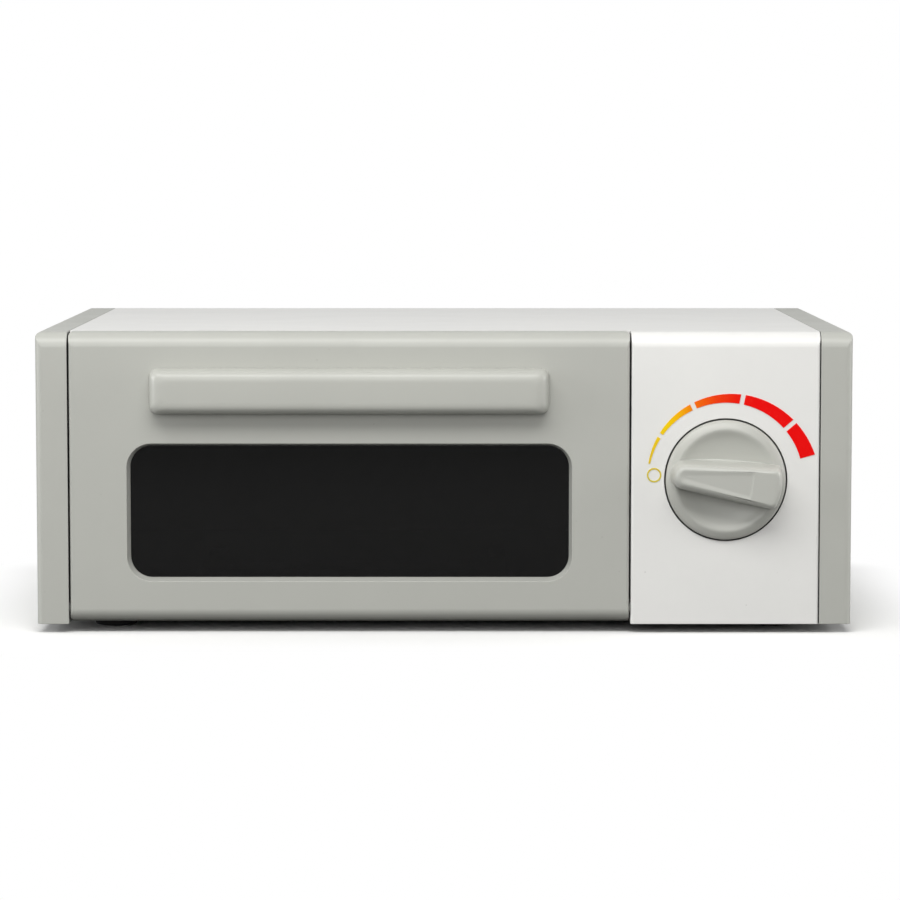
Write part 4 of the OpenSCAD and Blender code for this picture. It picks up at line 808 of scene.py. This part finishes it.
def makeScrew(s, headR, headH, shankR, length):
    head = bmesh.new()
    profile = [(0.0, headH), (0.5 * headR, headH), (0.82 * headR, 0.90 * headH), (0.96 * headR, 0.62 * headH),
               (headR, 0.3 * headH), (headR, 0.06 * headH), (0.97 * headR, 0.0), (0.0, 0.0)]
    spinProfile(head, profile, s["headSteps"])
    cutter = bmesh.new()
    deep, half = s["recess"] * headR * 0.9, s["recessWidth"] * headR
    arm = s["arm"] * headR
    for quarter in (0.0, math.pi / 2):
        made = bmesh.ops.create_cube(cutter, size=1.0)["verts"]
        for vert in made:
            low = vert.co.z < 0
            vert.co = Vector((math.copysign(arm * (s["armTaper"] if low else 1.0), vert.co.x),
                              math.copysign(half * (s["slotTaper"] if low else 1.0), vert.co.y),
                              headH - min(deep, headH * 0.85) if low else headH + 0.2 * mm))
        moveTo(cutter, made, Matrix.Rotation(quarter, 4, "Z"))
    passing = []
    for label, solid in (("screwHead", head), ("screwCross", cutter)):
        bmesh.ops.recalc_face_normals(solid, faces=solid.faces)
        passing.append(newObject(label, meshFrom(label, solid)))
    cut = passing[0].modifiers.new("cross", "BOOLEAN")
    cut.operation, cut.solver, cut.object = "DIFFERENCE", "EXACT", passing[1]
    cut.use_self = True
    ready = bpy.data.meshes.new_from_object(passing[0].evaluated_get(bpy.context.evaluated_depsgraph_get()))
    bm = bmesh.new()
    bm.from_mesh(ready)
    used = [thing.data for thing in passing] + [ready]
    for thing in passing:
        bpy.data.objects.remove(thing)
    for mesh in used:
        bpy.data.meshes.remove(mesh)
    # Core with a point
    core = shankR - s["threadDepth"] * mm
    spinProfile(bm, [(0.0, 0.0), (core, 0.0), (core, -length + 1.6 * core), (0.3 * core, -length),
                     (0.0, -length)], s["coreSteps"])
    # Thread
    pitch = s["pitch"] * mm
    turns = max(1.0, (length - 1.4 * core) / pitch - 0.6)
    ridge = bmesh.new()
    verts = [ridge.verts.new(p) for p in ((core * 0.98, 0, -0.25 * pitch), (shankR, 0, -0.46 * pitch),
                                          (core * 0.98, 0, -0.67 * pitch))]
    edges = [ridge.edges.new(pair) for pair in zip(verts, verts[1:])]
    steps = int(turns * s["turnSteps"])
    spinRound(ridge, verts + edges, steps, turns, dvec=(0, 0, -pitch * turns / steps), use_merge=False)
    addPart(bm, ridge)
    return bm


def dressScrews(name, body, s):
    bm = bmesh.new()
    kinds = {}
    for low, high, points in solidsOf(name):
        size = high - low
        middle = (low + high) / 2
        # Seen along its axis, the screw is round
        axis = min(range(3), key=lambda i: abs(size[(i + 1) % 3] - size[(i + 2) % 3]))
        u, v = [i for i in range(3) if i != axis]
        headR = size[u] / 2
        radii = [(math.hypot(p[u] - middle[u], p[v] - middle[v]), p[axis]) for p in points]
        wide = [z for r, z in radii if r > headR * 0.97]
        shankR = max(r for r, z in radii if 0.2 * headR < r < 0.9 * headR)
        outwards = 1.0 if sum(wide) / len(wide) > middle[axis] else -1.0
        outer = high[axis] if outwards > 0 else low[axis]
        headH = abs(max(wide) - min(wide))
        key = tuple(round(n * 1e5) for n in (headR, headH, shankR, size[axis]))
        if key not in kinds:
            kinds[key] = makeScrew(s, headR, headH, shankR, size[axis] - headH)
        direction = Vector([outwards if i == axis else 0.0 for i in range(3)])
        middle[axis] = outer - outwards * headH
        turn = direction.to_track_quat("Z", "Y").to_matrix().to_4x4()
        spin = Matrix.Rotation(random.uniform(0, math.pi), 4, "Z")
        addPart(bm, kinds[key], Matrix.Translation(middle) @ turn @ spin, keep=True)
    for kind in kinds.values():
        kind.free()
    finishMesh(name + "_cross", bm, body, ["screwSteel"], [name], 32, normals=False)


makeKnob(knobShape)
print("knob ready")
screwBodies = {
    "base_screws": "casing", "liner_screws": "casing", "board_screws": "casing", "led_screws": "casing",
    "speaker_screws": "casing", "battery_box_screws": "casing", "door_screws": "door",
    "handle_screws": "door", "knob_screw": "dial", "cover_screws": "battery_lid",
}
for name, body in screwBodies.items():
    dressScrews(name, body, screwShape)
print("screws ready")


def squareOutline(wide, high, radius):
    w, h = wide / 2, high / 2
    bm = flatShape([(-w, -h), (w, -h), (w, h), (-w, h)])
    roundOff(bm, list(bm.verts), radius, 8)
    return takeOutline(bm)


# Handle: a hollow bar with soft shoulders and two screw posts inside
handleShape = {
    "center": (-0.0313, 0.08055), "faceY": -0.0815, "wide": 132.0, "high": 15.1, "radius": 2.6,
    # drawn in at the ends, drawn in at the long sides, reach from the door
    "skin": ((0.0, 0.0, 0.0), (0.12, 0.08, 1.0), (0.38, 0.26, 3.0), (0.62, 0.44, 4.6), (0.95, 0.70, 5.5),
             (1.4, 1.05, 6.2), (2.05, 1.55, 6.8), (2.8, 2.15, 7.18), (3.6, 2.8, 7.38), (4.6, 3.5, 7.47),
             (6.0, 4.3, 7.5)),
    "hollow": ((2.0, 1.9, 0.0), (2.2, 2.1, 3.0), (2.9, 2.6, 5.2), (3.6, 3.2, 5.65), (4.4, 3.9, 5.7)),
    "posts": (-48.0, 48.0), "postRadius": 3.5, "pilotRadius": 1.1, "postTop": 5.72, "postSteps": 28,
}


def makeHandle(s):
    bm = bmesh.new()
    for kind in ("skin", "hollow"):
        stack = []
        for fromEnd, fromSide, height in s[kind]:
            radius = s["radius"] - (0.9 if fromSide > 3.6 else 0.0)
            outline = squareOutline(s["wide"] - 2 * fromEnd, s["high"] - 2 * fromSide, radius)
            stack.append((outline, height * mm))
        part = bmesh.new()
        stackOutlines(part, stack)
        base = min(part.faces, key=lambda f: f.calc_center_median().z)
        bmesh.ops.delete(part, geom=[base], context="FACES_ONLY")
        addPart(bm, part, Matrix.Diagonal((mm, mm, 1.0, 1.0)))
    rims = [e for e in bm.edges if e.is_boundary]
    bmesh.ops.bridge_loops(bm, edges=rims)
    for x in s["posts"]:
        post = bmesh.new()
        outer, inner, low, high = s["postRadius"] * mm, s["pilotRadius"] * mm, 0.05 * mm, s["postTop"] * mm
        spinProfile(post, [(inner, low), (outer, low), (outer, high), (inner, high), (inner, low)],
                    s["postSteps"])
        addPart(bm, post, Matrix.Translation((x * mm, 0.0, 0.0)))
    moveTo(bm, bm.verts, standingAt(s["center"], s["faceY"]))
    finishMesh("handle_moulding", bm, "door", ["handlePlastic"], ["door_handle"], 50)


# Cells: film jacket with a pale band, crimped steel ends and the signs of their poles
cellShape = {
    "boxCenter": (0.0932, 0.0065, 0.01285), "pitch": 15.2, "start": -22.75,
    "radius": 7.25, "length": 50.5, "nubRadius": 2.6, "nubLength": 1.2, "steps": 40,
    "base": ((0.0, 0.12), (3.2, 0.12), (3.5, 0.0), (5.4, 0.0), (5.7, 0.1)),
    "bandFrom": 33.0, "markSize": 1.5, "markWidth": 0.45, "markFromEnd": 5.0,
}


# In the battery box the two sides point opposite ways
def inBox(s, side, start):
    x, y, z = s["boxCenter"]
    return Matrix.Translation((x + side * s["pitch"] / 2 * mm, y, z)) @ \
        Matrix.Rotation(side * math.pi / 2, 4, "X") @ Matrix.Translation((0, 0, start * mm))


def markOnCell(bm, s, at, across, along, face):
    marks = bmesh.new()
    bmesh.ops.create_grid(marks, x_segments=6, y_segments=2, size=0.5)
    for vert in marks.verts:
        turn = vert.co.x * across / s["radius"] + face
        reach = s["radius"] + 0.03
        height = at + vert.co.y * along
        vert.co = Vector((reach * math.cos(turn) * mm, reach * math.sin(turn) * mm, height * mm))
    for mark in marks.faces:
        mark.material_index = 3
    addPart(bm, marks)


def makeCells(s):
    bm = bmesh.new()
    r, body = s["radius"], s["length"] - s["nubLength"]
    jacket = [(5.7, 0.1), (6.4, 0.0), (6.95, 0.08), (r, 0.4), (r, 1.2), (r, s["bandFrom"])]
    band = [(r, s["bandFrom"]), (r, body - 0.9), (r, body - 0.45), (r - 0.15, body - 0.15),
            (r - 0.5, body), (5.9, body - 0.02)]
    n = s["nubRadius"]
    crown = [(5.9, body - 0.02), (5.6, body - 0.35), (3.4, body - 0.35), (3.0, body - 0.1), (n, body),
             (n, s["length"] - 0.3), (n - 0.3, s["length"]), (0.0, s["length"])]
    for side in (-1, 1):
        cell = bmesh.new()
        spinParts(cell, ((s["base"], 2), (jacket, 0), (band, 1), (crown, 2)), s["steps"])
        # Both cells show their signs to the cover below
        down = -math.pi / 2 if side < 0 else math.pi / 2
        size, width = s["markSize"] * 2, s["markWidth"] * 2
        plus, minus = body - s["markFromEnd"], s["markFromEnd"]
        for at, across, along in ((plus, size, width), (plus, width, size), (minus, size, width)):
            markOnCell(cell, s, at, across, along, down)
        addPart(bm, cell, inBox(s, side, s["start"]))
    finishMesh("cell_pair", bm, "casing", ["cellFilm", "cellBand", "screwSteel", "cellMark"],
               ["batteries"], 50.0)


# Battery springs: tapered coils of nickelled wire with a flat first turn
springShape = {
    "foot": 4.4, "tip": 2.2, "wire": 0.4, "sides": 10, "turns": 3.0, "steps": 34, "room": 5.0,
    "start": -27.75,
}


def makeSprings(s, c):
    bm = bmesh.new()
    for side in (-1, 1):
        coil = bmesh.new()
        ring = bmesh.ops.create_circle(coil, segments=s["sides"], radius=s["wire"] * mm)["verts"]
        moveTo(coil, ring, Matrix.Translation((s["foot"] * mm, 0, s["wire"] * mm)) @
               Matrix.Rotation(math.pi / 2, 4, "X"))
        edges = list(coil.edges)
        rise = (s["room"] - 2 * s["wire"]) * mm
        steps = int(s["turns"] * s["steps"])
        spinRound(coil, ring + edges, steps, s["turns"], dvec=(0, 0, rise / steps))
        for vert in coil.verts:
            share = min(1.0, max(0.0, (vert.co.z - s["wire"] * mm) / rise))
            reach = math.hypot(vert.co.x, vert.co.y)
            shrink = (reach - (s["foot"] - s["tip"]) * share * mm) / reach
            vert.co.x *= shrink
            vert.co.y *= shrink
        bmesh.ops.holes_fill(coil, edges=[e for e in coil.edges if e.is_boundary], sides=12)
        addPart(bm, coil, inBox(c, side, s["start"]))
    finishMesh("spring_coils", bm, "casing", ["contactNickel"], ["battery_springs"], 60.0)


# Speaker cone: pressed paper with a rolled edge, three ripples and a dust cap
coneShape = {
    "center": (0.0932, 0.058), "wallY": 0.0903, "thick": 0.28, "steps": 56,
    "front": ((18.5, 1.2), (17.7, 1.2), (17.4, 1.32), (17.1, 1.62), (16.7, 1.85), (16.2, 1.95),
              (15.7, 1.82), (15.35, 1.55), (15.1, 1.42), (14.7, 1.55), (13.4, 2.1), (13.1, 2.12),
              (12.8, 2.36), (11.5, 2.92), (11.2, 2.94), (10.9, 3.18), (9.6, 3.74), (9.3, 3.76), (9.0, 4.0),
              (6.9, 4.95), (6.4, 5.2), (6.15, 5.25), (5.9, 5.12), (5.6, 4.9), (4.6, 4.5), (3.0, 4.12),
              (1.5, 3.93), (0.0, 3.88)),
}


def makeCone(s):
    bm = bmesh.new()
    front = list(s["front"])
    back = [(r, z + s["thick"]) for r, z in reversed(front)]
    spinProfile(bm, inMetres(front + back + front[:1]), s["steps"])
    moveTo(bm, bm.verts, standingAt(s["center"], s["wallY"]))
    finishMesh("cone_pressing", bm, "casing", ["conePaper"], ["speaker_cone"], 70.0)


# Speaker magnet: a ferrite ring between its steel plates, with the pole piece in the middle
magnetShape = {
    "from": 9.0, "steps": 48,
    "front": ((0.0, 0.0), (5.4, 0.0), (5.5, 0.1), (8.6, 0.1), (8.8, 0.25), (8.8, 1.0)),
    "ring": ((8.8, 1.0), (9.05, 1.02), (9.2, 1.17), (9.2, 2.83), (9.05, 2.98), (8.8, 3.0)),
    "back": ((8.8, 3.0), (8.8, 3.7), (8.5, 4.0), (2.4, 4.0), (2.1, 3.9), (1.8, 3.55), (0.0, 3.5)),
}


def makeMagnet(s, c):
    bm = bmesh.new()
    parts = [([(r, s["from"] + z) for r, z in s[part]], material)
             for part, material in (("front", 0), ("ring", 1), ("back", 0))]
    spinParts(bm, parts, s["steps"])
    moveTo(bm, bm.verts, standingAt(c["center"], c["wallY"]))
    finishMesh("magnet_stack", bm, "casing", ["speakerSteel", "magnetFerrite"],
               ["speaker_magnet"], 40.0)


# Feet: rubber discs with two grip grooves and a hollow in the sole
footShape = {
    "steps": 48,
    "profile": ((0.0, 0.45), (2.3, 0.45), (2.6, 0.32), (2.8, 0.05), (2.95, 0.0), (4.1, 0.0), (4.25, 0.08),
                (4.4, 0.28), (4.6, 0.28), (4.75, 0.08), (4.9, 0.0), (6.1, 0.0), (6.5, 0.1), (6.8, 0.35),
                (6.95, 0.7), (7.0, 1.1), (7.0, 3.55), (6.9, 3.6), (0.0, 3.6)),
}


def makeFeet(s):
    bm = bmesh.new()
    for low, high, points in solidsOf("feet"):
        foot = bmesh.new()
        spinProfile(foot, inMetres(s["profile"]), s["steps"])
        middle = (low + high) / 2
        addPart(bm, foot, Matrix.Translation((middle.x, middle.y, 0.0)))
    finishMesh("rubber_feet", bm, "casing", ["footRubber"], ["feet"], 45.0)


# On the board: resin over the chip, a can capacitor, two chip resistors and the socket of the leads
boardPartShape = {
    "boardY": -0.0639,
    "drop": {"center": (85.2, 57.1), "radius": 6.5, "high": 1.9, "steps": 40},
    "can": {"center": (105.2, 59.1), "radius": 3.0, "high": 8.0, "steps": 32},
    "resistors": ((79.2, 36.6), (84.2, 36.6)), "resistorSize": (2.0, 1.0, 4.0), "capLength": 0.75,
    "socket": (97.2, 31.1), "socketSize": (14.0, 6.0, 6.0), "socketWall": 0.9, "pins": 4,
}


def boxPart(bm, low, size, material, edge=0.12, segments=2):
    part = bmesh.new()
    bmesh.ops.create_cube(part, size=1.0)
    for vert in part.verts:
        vert.co = Vector([(low[i] + (0.5 + vert.co[i]) * size[i]) * mm for i in range(3)])
    roundOff(part, list(part.edges), edge * mm, segments, "EDGES")
    for face in part.faces:
        face.material_index = material
    addPart(bm, part)


# Standing on the board, towards the back
def onBoard(s, center):
    place = Matrix.Translation((center[0] * mm, s["boardY"], center[1] * mm))
    return place @ Matrix.Rotation(-math.pi / 2, 4, "X")


def makeBoardParts(s):
    bm = bmesh.new()
    boardY = s["boardY"] / mm
    # The resin drop spreads a little unevenly
    d = s["drop"]
    drop = bmesh.new()
    profile = [(d["radius"] * math.cos(a) ** 0.9, d["high"] * math.sin(a)) for a in
               [math.radians(9 * i) for i in range(10)]] + [(0.0, d["high"])]
    spinProfile(drop, inMetres([(0.0, 0.0)] + profile), d["steps"])
    for vert in drop.verts:
        turnAt = math.atan2(vert.co.y, vert.co.x)
        spread = 0.975 + 0.015 * math.sin(3 * turnAt + 0.6) + 0.01 * math.sin(5 * turnAt)
        vert.co.x *= spread
        vert.co.y *= spread
    addPart(bm, drop, onBoard(s, d["center"]))
    c = s["can"]
    r, h = c["radius"], c["high"]
    can = bmesh.new()
    sleeve = [(0.0, 0.0), (r - 0.3, 0.0), (r, 0.25), (r, 0.9), (r - 0.22, 1.1), (r - 0.22, 1.3), (r, 1.5),
              (r, h - 0.35), (r - 0.2, h - 0.08), (r - 0.6, h)]
    top = [(r - 0.6, h), (r - 0.75, h - 0.12), (0.0, h - 0.12)]
    spinParts(can, ((sleeve, 1), (top, 2)), c["steps"])
    addPart(bm, can, onBoard(s, c["center"]))
    w, deep, tall = s["resistorSize"]
    for x, z in s["resistors"]:
        cap = s["capLength"]
        boxPart(bm, (x + 0.04, boardY, z + cap - 0.05), (w - 0.08, deep - 0.06, tall - 2 * cap + 0.1), 0,
                0.05)
        for low in (z, z + tall - cap):
            boxPart(bm, (x, boardY, low), (w, deep, cap), 2, 0.14, 3)
    # The socket: a tray with four walls, its floor and the pins
    x, z = s["socket"]
    w, deep, tall = s["socketSize"]
    wall = s["socketWall"]
    boxPart(bm, (x, boardY, z), (w, 1.2, tall), 3)
    near, inside = boardY + 1.1, w - 2 * wall + 0.2
    for side in (x, x + w - wall):
        boxPart(bm, (side, near, z), (wall, deep - 1.1, tall), 3)
    for level in (z, z + tall - wall):
        boxPart(bm, (x + wall - 0.1, near, level), (inside, deep - 1.1, wall), 3)
    for i in range(s["pins"]):
        pinX = x + w * (i + 0.5) / s["pins"] - 0.32
        boxPart(bm, (pinX, near, z + tall / 2 - 0.32), (0.64, deep - 2.0, 0.64), 2, 0.16)
    materials = ["resinBlack", "canSleeve", "solderTin", "socketWhite"]
    finishMesh("board_mounted_parts", bm, "casing", materials, ["board_parts"], 40)


makeHandle(handleShape)
makeCells(cellShape)
makeSprings(springShape, cellShape)
makeCone(coneShape)
makeMagnet(magnetShape, coneShape)
makeFeet(footShape)
makeBoardParts(boardPartShape)
print("inner pieces ready")
